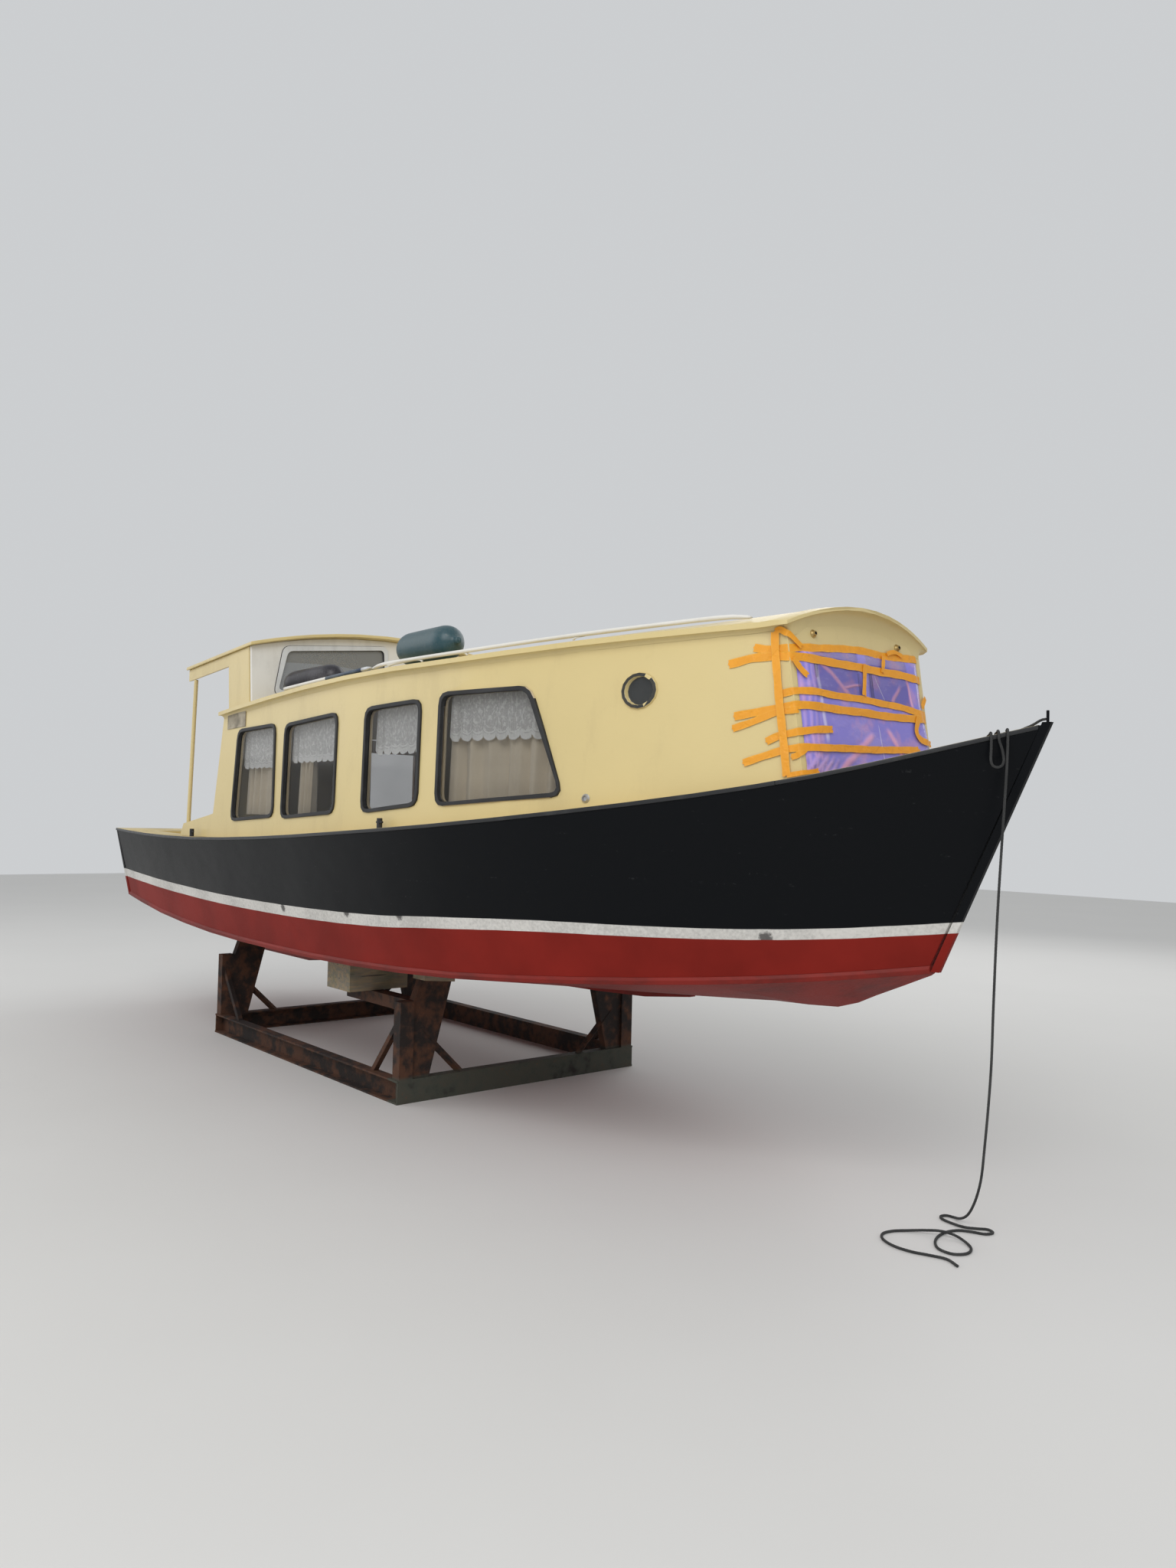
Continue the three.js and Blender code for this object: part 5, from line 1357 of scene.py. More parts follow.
@dataclass
class Cabin:
    """Cabin sides, front, roof, windows, door and helm.

    side_pane and shield_pane give the least and greatest depth of a pane behind
    its lip, side_reveal and shield_seal the depth where what lies further in
    begins, and door_pane the Y and Z of the glass in the door.
    """

    window_count: int = 4
    side_pane: tuple[float, float] = (0.018, 0.036)
    side_reveal: float = 0.030
    shield_pane: tuple[float, float] = (0.020, 0.038)
    shield_seal: float = 0.006
    porthole_frame: float = 0.018
    front_frame: float = 0.022
    door_pane: tuple[float, float, float, float] = (-0.065, 0.365, 1.845, 2.335)
    door_glass: float = 0.024
    curved: float = 42

    def lined(self, side: Side) -> Callable[[Vector, Vector], int]:
        """A rule that tells a cabin side's lining from its outside."""
        return lambda middle, normal: int(normal.y * side.value < -0.5)

    def door_rule(self, middle: Vector, normal: Vector) -> int:
        """Glass of the door's window, or its wood."""
        y0, y1, z0, z1 = self.door_pane
        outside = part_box("companion_door")[1].x
        within = y0 < middle.y < y1 and z0 < middle.z < z1
        return int(within and abs(normal.x) > FACING and middle.x > outside - self.door_glass)

    def window(self, node: str, finishes: tuple[Finish, ...], edge: float,
               rule: Callable[[Vector, Vector], int]) -> Any:
        """A window with its frame and its pane told apart by a rule."""
        return Skin(node, finishes, edge, sort=rule, degrees=self.curved).build()

    def windows(self, side: Side) -> Iterator[Any]:
        """The windows of one side, one by one."""
        for k in range(1, self.window_count + 1):
            node = f"window_{k}_{side.word}"
            rule = layers(node, 1, self.side_pane, self.side_reveal)
            yield self.window(node, (RUBBER, GLASS, LINING), 0.0035, rule)
        node = f"porthole_{side.word}"
        rule = pane_test(node, 1, self.porthole_frame)
        yield self.window(node, (CREAM, PORTHOLE_GLASS), 0.003, rule)
        node = f"front_window_{side.word}"
        rule = pane_test(node, 0, self.front_frame)
        yield self.window(node, (RUBBER, GLASS), 0.003, rule)
        node = f"windshield_{side.word}"
        rule = layers(node, 0, self.shield_pane, self.shield_seal)
        yield self.window(node, (SHIELD_FRAME, SHIELD_GLASS, RUBBER), 0.004, rule)

    def build(self) -> Iterator[Any]:
        """Builds the pieces one by one."""
        for side in Side:
            yield Skin(f"cabin_side_{side.word}", (CREAM, LINING), 0.003, sort=self.lined(side)).build()
            yield from self.windows(side)
            yield Skin(f"hardtop_side_{side.word}", (CREAM,), 0.004).build()
            yield Skin(f"hardtop_pole_{side.word}", (CREAM,), 0.003, degrees=50).build()
            yield Skin(f"handrail_{side.word}", (WHITE,), 0, degrees=80, rounds=1, fatten=0.002).build()
        yield Skin("cabin_front", (CREAM,), 0.004).build()
        yield Skin("cabin_roof", (CREAM,), 0.009, degrees=40).build()
        yield Skin("hardtop_front", (WHITE,), 0.004).build()
        yield Skin("hardtop_roof", (CREAM,), 0.008, degrees=40).build()
        yield Skin("aft_bulkhead", (CREAM,), 0.002).build()
        yield Skin("companion_door", (MAHOGANY, GLASS), 0.002, Body.DOOR, sort=self.door_rule).build()
        yield Skin("helm_console", (MAHOGANY,), 0.005).build()
        yield Skin("steering_wheel", (WHEEL_WOOD,), 0, Body.WHEEL, degrees=60, rounds=1,
                   fatten=0.0012, merge=False).build()


@dataclass
class Coachroof:
    """Rounded corners of the cabin front and the cove under the roof's edge and its visor.

    corner is the corner's radius, cover how far its cover reaches on either
    side, lip how far the cove stays inside the roof's edge, and side_drop and
    front_drop how far down the walls it begins. The levels are heights at which
    the walls are probed, and indoors is one between the sole and the roof.
    """

    corner: float = 0.020
    cover: float = 0.045
    proud: float = 0.0015
    sheet: float = 0.0012
    side_drop: float = 0.034
    front_drop: float = 0.075
    aft: float = -1.690
    step: float = 0.10
    lip: float = 0.003
    indoors: float = 2.3
    corner_level: float = 2.62
    front_level: float = 2.66
    rake_level: float = 2.64
    front_parts: int = 16
    clear: float = 0.0004

    def __post_init__(self) -> None:
        """Takes hold of the surfaces round the corner."""
        self.front, self.roof = sight("cabin_front"), sight("cabin_roof")
        self.walls = {side: sight(f"cabin_side_{side.word}") for side in Side}

    def wall(self, side: Side, x: float, z: float) -> float:
        """Half-breadth of the cabin side at a place."""
        return abs(struck(self.walls[side], (x, 3 * side.value, z), (0, -side.value, 0))[0].y)

    def nose(self, y: float, z: float) -> float:
        """X of the cabin front's outside at a place."""
        return struck(self.front, (5, y, z), (-1, 0, 0))[0].x

    def under(self, x: float, y: float) -> float:
        """Height of the roof's underside over a place."""
        return struck(self.roof, (x, y, self.indoors), (0, 0, 1))[0].z

    def covered(self, x: float, y: float) -> bool:
        """Tells whether the roof is over a place."""
        return self.roof.ray_cast(Vector((x, y, self.indoors)), Vector((0, 0, 1)))[0] is not None

    def brim(self, inside: Vector, outside: Vector) -> Vector:
        """Last place under the roof between two places."""
        for _ in range(18):
            middle = (inside + outside) / 2
            if self.covered(middle.x, middle.y):
                inside = middle
            else:
                outside = middle
        return inside + (inside - outside).normalized() * self.lip if inside != outside else inside

    def breadth(self, side: Side, z: float) -> float:
        """Half-breadth of the cabin front at a height, found by halving."""
        inner, outer = 0.3, 1.3
        for _ in range(20):
            middle = (inner + outer) / 2
            hit = self.front.ray_cast(Vector((5, side.value * middle, z)), Vector((-1, 0, 0)))[0]
            inner, outer = (middle, outer) if hit else (inner, middle)
        return inner

    def section(self, side: Side, z: float) -> list[Vector]:
        """Outline of the rounded corner at a height, from the side to the front."""
        breadth = self.breadth(side, z)
        x = self.nose(side.value * (breadth - 0.012), z)
        r = self.corner + self.proud
        out = [(x - self.cover, self.wall(side, x - self.cover, z) + 0.0003)]
        for k in range(9):
            turn = math.pi / 2 * k / 8
            out.append((x - self.corner + r * math.sin(turn), breadth - self.corner + r * math.cos(turn)))
        inner = breadth - self.cover
        out.append((self.nose(side.value * inner, z) + 0.0003, inner))
        return [Vector((px, side.value * py, z)) for px, py in out]

    def moulding(self, side: Side, rows: int = 16) -> Any:
        """The corner's rounded cover, from the deck to the roof."""
        end = self.section(side, 2.70)[0]
        top = self.under(end.x, end.y) - 0.010
        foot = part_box("cabin_front")[0].z + 0.004
        levels = [self.section(side, foot + (top - foot) * k / rows) for k in range(rows + 1)]
        columns = len(levels[0]) - 1
        obj = woven(columns, rows, lambda u, v: levels[round(v * rows)][round(u * columns)])
        return self.thick(obj, f"corner_moulding_{side.word}")

    def thick(self, obj: Any, name: str) -> Any:
        """Gives a sheet its thickness, shading and paint."""
        modify(obj, "SOLIDIFY", thickness=self.sheet, offset=-1.0)
        in_edit(obj, lambda: bpy.ops.mesh.normals_make_consistent(inside=False))
        smooth(obj, 50)
        return finished(obj, name, (CREAM,))

    def along_side(self, side: Side) -> list[tuple[Vector, Vector, float]]:
        """Foot, brim and drop of the cove along a side and round its corner."""
        corner = self.section(side, self.corner_level)
        count = int((corner[0].x - self.aft) / self.step)
        line = []
        for k in range(count):
            x = self.aft + (corner[0].x - self.aft) * k / count
            y = side.value * (self.wall(side, x, 2.56 + 0.04 * x) + self.clear)
            foot = Vector((x, y, 0))
            line.append((foot, self.brim(foot, Vector((x, y + side.value * 0.2, 0))), self.side_drop))
        for k, place in enumerate(corner):
            share = k / (len(corner) - 1)
            foot = Vector((place.x, place.y, 0))
            beyond = Vector((3.55 * share + foot.x * (1 - share), side.value * (1.3 - 0.75 * share), 0))
            drop = self.side_drop + (self.front_drop - self.side_drop) * share
            line.append((foot, self.brim(foot, beyond), drop))
        return line

    def along_front(self, y0: float, y1: float) -> list[tuple[Vector, Vector, float]]:
        """Foot, brim and drop of the cove across the front, between two places."""
        line = []
        for k in range(1, self.front_parts):
            y = y0 + (y1 - y0) * k / self.front_parts
            foot = Vector((self.nose(y, self.front_level) + self.clear, y, 0))
            line.append((foot, self.brim(foot, Vector((3.6, y * 1.02, 0))), self.front_drop))
        return line

    def stations(self) -> list[tuple[Vector, Vector, Vector]]:
        """Foot, bend and brim of the cove at places round the cabin."""
        starboard, port = (self.along_side(side) for side in Side)
        front = self.along_front(starboard[-1][0].y, port[-1][0].y)
        out = []
        for foot, brim, drop in [*starboard, *front, *reversed(port)]:
            top = self.under(foot.x - 0.004, foot.y * 0.995)
            low = top - drop
            ground = foot.copy()
            if drop > self.side_drop + 0.001 or abs(foot.y) < 0.6:
                ground = foot + Vector((self.rake * (low - self.rake_level), 0, 0))
            out.append((
                Vector((ground.x, foot.y, low)), Vector((ground.x, foot.y, top - 0.002)),
                Vector((brim.x, brim.y, self.under(brim.x, brim.y) - 0.0006)),
            ))
        return out

    def cove(self) -> Any:
        """The cove as one sheet round the cabin."""
        rows = self.stations()
        columns = len(rows) - 1

        def place(u: float, v: float) -> Vector:
            """Point of the cove, v from its foot to its brim."""
            foot, bend, brim = rows[round(u * columns)]
            bend = bend.lerp(brim, 0.12)
            return foot * (1 - v) ** 2 + bend * (2 * v * (1 - v)) + brim * v ** 2

        return self.thick(woven(columns, 8, place), "eave_cove")

    @property
    def rake(self) -> float:
        """How far the cabin front runs ahead for each metre up."""
        return (self.nose(0, 2.70) - self.nose(0, 2.60)) / 0.10

    def build(self) -> Iterator[Any]:
        """Builds the pieces one by one."""
        for side in Side:
            yield self.moulding(side)
        yield self.cove()


@dataclass
class Plain:
    """Nodes whose own shape stays, under a better finish."""

    finishes: tuple[tuple[str, Finish], ...] = (
        ("cabin_sole", SOLE_WOOD), ("cockpit_well", CREAM), ("engine_block", ENAMEL),
        ("cradle_frame", RUST),
        ("timber_arm_starboard", TIMBER), ("timber_arm_port", TIMBER),
        ("timber_front_starboard", TIMBER), ("timber_front_port", TIMBER),
        ("timber_rear_starboard", TIMBER), ("timber_rear_port", TIMBER),
    )

    def build(self) -> Iterator[Any]:
        """Gives each node its finish."""
        for node, finish in self.finishes:
            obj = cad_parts[node]
            for slot in obj.material_slots:
                slot.material = finish.material()
            yield obj


# Soft pieces

@dataclass
class BowRope:
    """Mooring rope: fast to the pin on the bow, over the deck edge and down to the ground."""

    diameter: float = 0.012
    pitch: float = 0.042
    ring_step: float = 0.0055
    bight: tuple[Point, ...] = (
        (4.2192, 0, 2.306), (4.200, -0.001, 2.303), (4.160, -0.008, 2.281), (4.115, -0.015, 2.263),
        (4.070, -0.018, 2.248), (4.025, -0.034, 2.234), (3.995, -0.068, 2.225), (4.000, -0.106, 2.226),
        (4.026, -0.127, 2.239), (4.038, -0.141, 2.244), (4.048, -0.154, 2.237), (4.052, -0.159, 2.220),
        (4.053, -0.161, 2.170), (4.053, -0.161, 2.116), (4.059, -0.156, 2.098), (4.073, -0.144, 2.090),
        (4.088, -0.132, 2.098), (4.094, -0.128, 2.116), (4.090, -0.132, 2.165), (4.080, -0.140, 2.205),
        (4.077, -0.141, 2.227), (4.073, -0.135, 2.245), (4.062, -0.122, 2.253), (4.051, -0.109, 2.248),
        (4.034, -0.096, 2.240), (4.030, -0.076, 2.239), (4.038, -0.060, 2.242), (4.057, -0.053, 2.247),
        (4.074, -0.064, 2.250), (4.081, -0.083, 2.254), (4.092, -0.097, 2.260), (4.102, -0.111, 2.255),
        (4.106, -0.116, 2.238),
    )
    fall: tuple[Point, ...] = (
        (4.103, -0.117, 2.090), (4.085, -0.115, 1.795), (4.062, -0.110, 1.420), (4.044, -0.101, 1.050),
        (4.028, -0.088, 0.750), (3.980, -0.050, 0.400), (3.940, -0.015, 0.220), (3.895, 0.005, 0.105),
        (3.850, 0.025, 0.042), (3.805, 0.042, 0.014), (3.765, 0.055, 0.0064), (3.732, 0.048, 0.0064),
        (3.722, 0.018, 0.0064), (3.745, -0.008, 0.0064), (3.800, -0.022, 0.0064), (3.868, -0.022, 0.0064),
        (3.915, 0.010, 0.0064), (3.950, 0.038, 0.0064), (3.984, 0.022, 0.0064), (3.975, -0.022, 0.0064),
        (3.920, -0.048, 0.0064), (3.875, -0.080, 0.0064), (3.853, -0.140, 0.0064), (3.860, -0.220, 0.0064),
        (3.895, -0.300, 0.0064), (3.950, -0.352, 0.0064), (4.015, -0.352, 0.0064), (4.048, -0.300, 0.0064),
        (4.030, -0.235, 0.0064), (3.975, -0.190, 0.009), (3.915, -0.180, 0.019), (3.856, -0.196, 0.023),
        (3.800, -0.228, 0.017), (3.740, -0.270, 0.008), (3.698, -0.330, 0.0064), (3.690, -0.392, 0.0064),
        (3.725, -0.445, 0.0064), (3.800, -0.478, 0.0064), (3.890, -0.474, 0.0064), (3.960, -0.446, 0.0064),
        (4.030, -0.425, 0.0064), (4.100, -0.455, 0.0064),
    )

    def strands(self, angle: float, along: float) -> float:
        """Factor on the radius where three strands lie round each other."""
        return 0.86 + 0.16 * abs(math.cos(1.5 * (angle - math.tau * along / self.pitch)))

    def build(self) -> Iterator[Any]:
        line = even(centripetal([*self.bight, *self.fall], 8), self.ring_step)
        rope = tube(line, self.diameter / 2, 15, self.strands)
        smooth(rope, 70)
        finished(rope, "mooring_rope", (ROPE_YARN,))
        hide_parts("rope_bight", "bow_rope")
        length = sum((q - p).length for p, q in zip(line, line[1:]))
        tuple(self.bight[0])
        [tuple(p) for p in line]
        yield rope


@dataclass(frozen=True)
class Opening:
    """A side window as its curtains see it.

    lace is the X span of the valance and lace_foot the height of its hem, and
    drape is the X span of the drape, gathered in a number of folds.
    """

    number: int
    lace: tuple[float, float]
    lace_foot: float
    drape: tuple[float, float]
    folds: int


@dataclass
class Curtains:
    """A rail with its brackets, lace valances and drapes behind each side's windows.

    The rail runs rail_drop under a line that rises with the roof. lace_hang and
    drape_hang are the depth of the folds and how far outside the rail they hang.
    """

    roof_line: tuple[float, float] = (2.641, 0.0457)
    rail_drop: float = 0.118
    rail_radius: float = 0.009
    rail_ends: tuple[float, float] = (-1.478, 2.118)
    brackets: tuple[float, ...] = (-1.470, -0.660, 0.330, 1.160, 2.105)
    drape_foot: float = 1.80
    scallop: float = 0.085
    scallop_deep: float = 0.030
    lace_hang: tuple[float, float] = (0.008, 0.015)
    drape_hang: tuple[float, float] = (0.030, -0.026)
    openings: tuple[Opening, ...] = (
        Opening(1, (-1.405, -0.730), 2.165, (-1.390, -0.745), 6),
        Opening(2, (-0.590, 0.175), 2.190, (-0.520, -0.320), 3),
        Opening(3, (0.530, 1.090), 2.215, (0.975, 1.085), 2),
        Opening(4, (1.255, 2.020), 2.275, (1.225, 2.085), 6),
    )

    def rail_height(self, x: float) -> float:
        """Height of the rail at a place."""
        level, rise = self.roof_line
        return level + rise * x - self.rail_drop

    def rail_reach(self, x: float) -> float:
        """Half-breadth of the rail at a place."""
        if not hasattr(self, "tree"):
            self.tree = sight("curtain_starboard")
        point, _ = struck(self.tree, (x, -3, self.rail_height(x)), (0, 1, 0))
        return abs(point.y) - 0.010

    def hang(self, side: Side, span: tuple[float, float], foot: Callable[[float], float],
             folds: int, hang: tuple[float, float], rows: int) -> Any:
        """A pleated sheet that hangs from the rail.

        Args:
            side: side of the boat.
            span: its two ends along the rail.
            foot: height of its lower edge for a share of its width.
            folds: number of pleats.
            hang: depth of a pleat, and how far it hangs outside the rail.
            rows: faces up and down.

        Returns:
            The piece.
        """
        x0, x1 = span
        deep, out = hang

        def place(u: float, v: float) -> Vector:
            """Point of the cloth."""
            x = x0 + (x1 - x0) * u
            top = self.rail_height(x) - 0.002
            low = foot(u)
            fall = 1 - v
            z = low + (top - low) * v
            turn = math.tau * folds * u + 0.7 * math.sin(7 * u + fall)
            swing = deep * (0.45 + 0.55 * fall) * (math.sin(turn) + 0.25 * math.sin(2.3 * turn + 1))
            lean = 0.02 + 0.06 * min(max((x - 1.6) / 1.6, 0), 1)
            y = self.rail_reach(x) + out + swing + lean * (top - z) * 0.6
            sway = 0.006 * fall * math.sin(5 * u + side.value)
            return Vector((x + sway, side.value * y, z))

        obj = woven(folds * 20, rows, place)
        smooth(obj, 80)
        return obj

    def declare(self, obj: Any, side: Side, height: float) -> None:
        """Works out the width of a sheet's cloth before it was gathered, but keeps nothing of it, and hides
        the side's curtain node.
        """
        area = sum(face.area for face in obj.data.polygons)
        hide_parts(f"curtain_{side.word}")
        round(area / height, 3)

    def rail(self, side: Side) -> Any:
        """The rail with its brackets."""
        start, end = self.rail_ends
        xs = [start + (end - start) * k / 24 for k in range(25)]
        line = [Vector((x, side.value * self.rail_reach(x), self.rail_height(x))) for x in xs]
        parts = [tube(line, self.rail_radius, 10)]
        wall = sight(f"cabin_side_{side.word}")
        for x in self.brackets:
            z, y = self.rail_height(x), side.value * self.rail_reach(x)
            out, _ = struck(wall, (x, y, z), (0, side.value, 0))
            from_rail, to_wall = Vector((x, y, z)), Vector((x, out.y, z))
            reach = (to_wall - from_rail).length
            arm = turned([(0, 0.005), (reach - 0.006, 0.005), (reach - 0.005, 0.016), (reach, 0.017)], 12)
            parts.append(settle(arm, towards(from_rail, to_wall)))
        return joined(parts)

    def build(self) -> Iterator[Any]:
        """Builds the pieces one by one."""
        for side in Side:
            rail = self.rail(side)
            smooth(rail, 50)
            finished(rail, f"curtain_rail_{side.word}", (ALLOY,))
            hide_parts(f"curtain_{side.word}")
            yield rail
            for opening in self.openings:
                count = max(round((opening.lace[1] - opening.lace[0]) / self.scallop), 4)

                def foot(u: float) -> float:
                    """Scalloped lower edge of the lace."""
                    return opening.lace_foot - self.scallop_deep * abs(math.sin(math.pi * count * u))

                lace = self.hang(side, opening.lace, foot, count, self.lace_hang, 22)
                finished(lace, f"lace_{opening.number}_{side.word}", (LACE,))
                middle = sum(opening.lace) / 2
                self.declare(lace, side, self.rail_height(middle) - opening.lace_foot + 0.012)
                yield lace
                drape = self.hang(
                    side, opening.drape, lambda u: self.drape_foot, opening.folds, self.drape_hang, 18,
                )
                finished(drape, f"drape_{opening.number}_{side.word}", (DRAPE_CLOTH,))
                middle = sum(opening.drape) / 2
                self.declare(drape, side, self.rail_height(middle) - self.drape_foot)
                yield drape


@dataclass(frozen=True)
class Strip:
    """One strip of tape by the pixels that its middle passes.

    wrap is how far it goes on round the port corner.
    """

    pixels: tuple[Pixel, ...]
    wide: float = 0.030
    wrap: float = 0.0


@dataclass
class Masking:
    """Film over the cabin front and the tape that holds it.

    The film spans low to high and starboard to port. Its upper port edge is
    drawn in by drawn_in, its upper starboard corner hangs by fallen, and it
    dips to the cabin within a rim, given as shares of its width and height.
    """

    low: float = 2.066
    high: float = 2.692
    starboard: float = -0.515
    port: float = 0.530
    drawn_in: float = 0.036
    fallen: float = 0.030
    rim: tuple[float, float, float, float] = (0.08, 0.06, 0.12, 0.05)
    behind_solid: float = 0.004
    off_cabin: float = 0.0022
    first_lift: float = 0.0032
    next_lift: float = 0.0007
    tape_thick: float = 0.0006
    tape_step: float = 0.008
    strips: tuple[Strip, ...] = (
        Strip(((985, 846), (1000, 849), (1022, 847), (1046, 846), (1075, 847), (1106, 848), (1129, 851),
               (1149, 857), (1176, 860), (1197, 862)), 0.040, 0.16),
        Strip(((952, 868), (961, 866), (981, 860), (1000, 858), (1022, 857), (1046, 858), (1063, 861),
               (1093, 867), (1123, 872), (1149, 878), (1176, 882), (1202, 890)), 0.042, 0.22),
        Strip(((1019, 907), (1033, 903), (1045, 902), (1066, 903), (1086, 908), (1106, 911), (1129, 914),
               (1149, 919), (1176, 924), (1209, 935)), 0.036, 0.18),
        Strip(((959, 936), (991, 930), (1010, 927), (1022, 924), (1040, 921), (1055, 921), (1075, 924),
               (1100, 928), (1129, 931), (1149, 935), (1176, 938), (1212, 941)), 0.040, 0.24),
        Strip(((957, 952), (981, 944), (1002, 935), (1018, 929), (1042, 927)), 0.034),
        Strip(((1001, 969), (1017, 961), (1042, 956), (1066, 953), (1086, 953)), 0.036),
        Strip(((971, 997), (991, 990), (1010, 984), (1025, 979), (1050, 976), (1075, 977), (1108, 978),
               (1141, 980), (1166, 980), (1200, 980)), 0.036, 0.14),
        Strip(((1034, 989), (1041, 988), (1051, 979)), 0.028),
        Strip(((1128, 868), (1127, 909)), 0.030),
        Strip(((1152, 858), (1151, 879)), 0.026),
        Strip(((1198, 937), (1194, 956), (1199, 966), (1213, 973)), 0.034),
        Strip(((1206, 912), (1202, 926)), 0.026),
        Strip(((1034, 860), (1043, 873), (1053, 883)), 0.032),
        Strip(((1156, 855), (1165, 851), (1176, 858)), 0.022),
        Strip(((1028, 1013), (1053, 1009), (1067, 1007)), 0.022),
        Strip(((1014, 826), (1019, 819), (1026, 826), (1036, 836), (1045, 846)), 0.030),
        Strip(((1013, 826), (1013, 840), (1014, 860), (1016, 885), (1018, 912), (1021, 940), (1024, 968),
               (1026, 990), (1028, 1014)), 0.038),
    )

    def film(self) -> Any:
        """The film, taut over the windows and creased at its edges."""
        tree, wall = sight("masking_film"), sight("cabin_front")
        left, right, foot, head = self.rim

        def place(u: float, v: float) -> Vector:
            """Point of the film."""
            drawn = self.drawn_in * min(max((v - 0.35) / 0.3, 0.0), 1.0)
            y = self.starboard + 0.001 + (self.port - self.starboard - 0.002 - drawn) * u
            top = self.high - self.fallen * max(0.0, 1 - u / 0.25)
            z = self.low + 0.001 + (top - self.low - 0.002) * v
            rest = struck(tree, (5, y, z), (-1, 0, 0))[0].x - self.behind_solid
            rim = min(u / left, (1 - u) / right, v / foot, (1 - v) / head, 1.0)
            if rim < 1:
                cabin = struck(wall, (5, y, z), (-1, 0, 0))[0].x + self.off_cabin
                rest += (cabin - rest) * (1 - rim * rim * (3 - 2 * rim))
            margin = max(0.0, 1 - u / 0.13)
            fan = max(0.0, 1 - (u + 1.1 * v) / 0.34)
            pleats = (0.0016 * margin * math.sin(190 * u)
                      + 0.0018 * fan * math.sin(120 * (0.9 * u - 0.55 * v)))
            sag = 0.0022 * math.sin(7.0 * u + 5.0 * v) * math.sin(9.0 * v - 3.0 * u)
            return Vector((rest + pleats * 0.5 + sag * rim, y, z))

        obj = woven(120, 72, place)
        smooth(obj, 80)
        return obj

    def places(self, strip: Strip, tree: BVHTree, port: BVHTree) -> list[tuple[Vector, Vector]]:
        """Points and normals of the surfaces along the middle of a strip."""
        found = []
        for a, b in zip(strip.pixels, strip.pixels[1:]):
            parts = max(int(math.dist(a, b) / 3), 1)
            for k in range(parts):
                t = k / parts
                found += met(tree, (a[0] + (b[0] - a[0]) * t, a[1] + (b[1] - a[1]) * t))
        found += met(tree, strip.pixels[-1])
        if strip.wrap:
            z = found[-1][0].z
            corner = 3.26 - 0.155 * (z - 2.05)
            for k in range(1, 9):
                start = Vector((corner - strip.wrap * k / 8, 3, z - 0.004 * k))
                point, normal, _, _ = port.ray_cast(start, Vector((0, -1, 0)))
                if point is not None:
                    found.append((point, normal))
        return found

    def stick(self, strip: Strip, lift: float, tree: BVHTree, port: BVHTree) -> Any:
        """One strip of tape on what lies behind its pixels.

        Args:
            strip: the strip.
            lift: how far it stands off the surface.
            tree: the surfaces to starboard and in front.
            port: the cabin's port side.

        Returns:
            The piece.
        """
        places = self.places(strip, tree, port)
        points = [point + normal * lift for point, normal in places]
        normals = [normal for _, normal in places]
        for _ in range(3):
            inner = zip(points, points[1:], points[2:])
            points = [points[0], *((a + b * 2 + c) / 4 for a, b, c in inner), points[-1]]
            turns = zip(normals, normals[1:], normals[2:])
            normals = [normals[0], *((a + b * 2 + c).normalized() for a, b, c in turns), normals[-1]]
        line = even(points, self.tape_step)
        shares = [k / len(line) * len(normals) for k in range(len(line))]
        faces = [normals[min(int(share), len(normals) - 1)] for share in shares]
        count = len(line) - 1
        for k, point in enumerate(line):
            near = (tree if point.y < self.port - 0.02 else port).find_nearest(point, 0.05)[0]
            if near is not None:
                line[k] = point + faces[k] * max(lift - (point - near).dot(faces[k]), 0.0)

        def place(u: float, v: float) -> Vector:
            """Point of the tape."""
            k = int(round(u * count))
            ahead = (line[min(k + 1, count)] - line[max(k - 1, 0)]).normalized()
            across = faces[k].cross(ahead).normalized()
            pucker = 0.0012 * math.sin(k * 0.9 + strip.pixels[0][0]) + 0.0006 * math.sin(k * 2.3)
            frayed = 0.004 * math.sin(9 * v) * (k in (0, count))
            half = strip.wide / 2 * (1 + 0.05 * math.sin(k * 0.37))
            return line[k] + across * (v - 0.5) * 2 * half + faces[k] * pucker * (v - 0.5) + ahead * frayed

        obj = woven(count, 4, place)
        modify(obj, "SOLIDIFY", thickness=self.tape_thick, offset=1.0)
        smooth(obj, 80)
        return obj

    def build(self) -> Iterator[Any]:
        """Builds the pieces one by one."""
        film = self.film()
        finished(film, "masking_film_sheet", (FILM,))
        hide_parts("masking_film")
        yield film
        corners = [f"corner_moulding_{side.word}" for side in Side]
        tree = sight(film.name, "cabin_side_starboard", "cabin_front", "eave_cove", *corners)
        port = sight("cabin_side_port", corners[1])
        lifts = [self.first_lift + self.next_lift * k for k in range(len(self.strips))]
        tapes = [self.stick(strip, lift, tree, port) for strip, lift in zip(self.strips, lifts)]
        yield finished(joined(tapes), "masking_tape", (TAPE,))


# Gear on the roof and small fittings

def over_roof(x: float, y: float, lift: float) -> Vector:
    """Point a set height over the cabin roof."""
    point, _ = struck(sight("cabin_roof"), (x, y, 6), (0, 0, -1))
    return point + Vector((0, 0, lift))


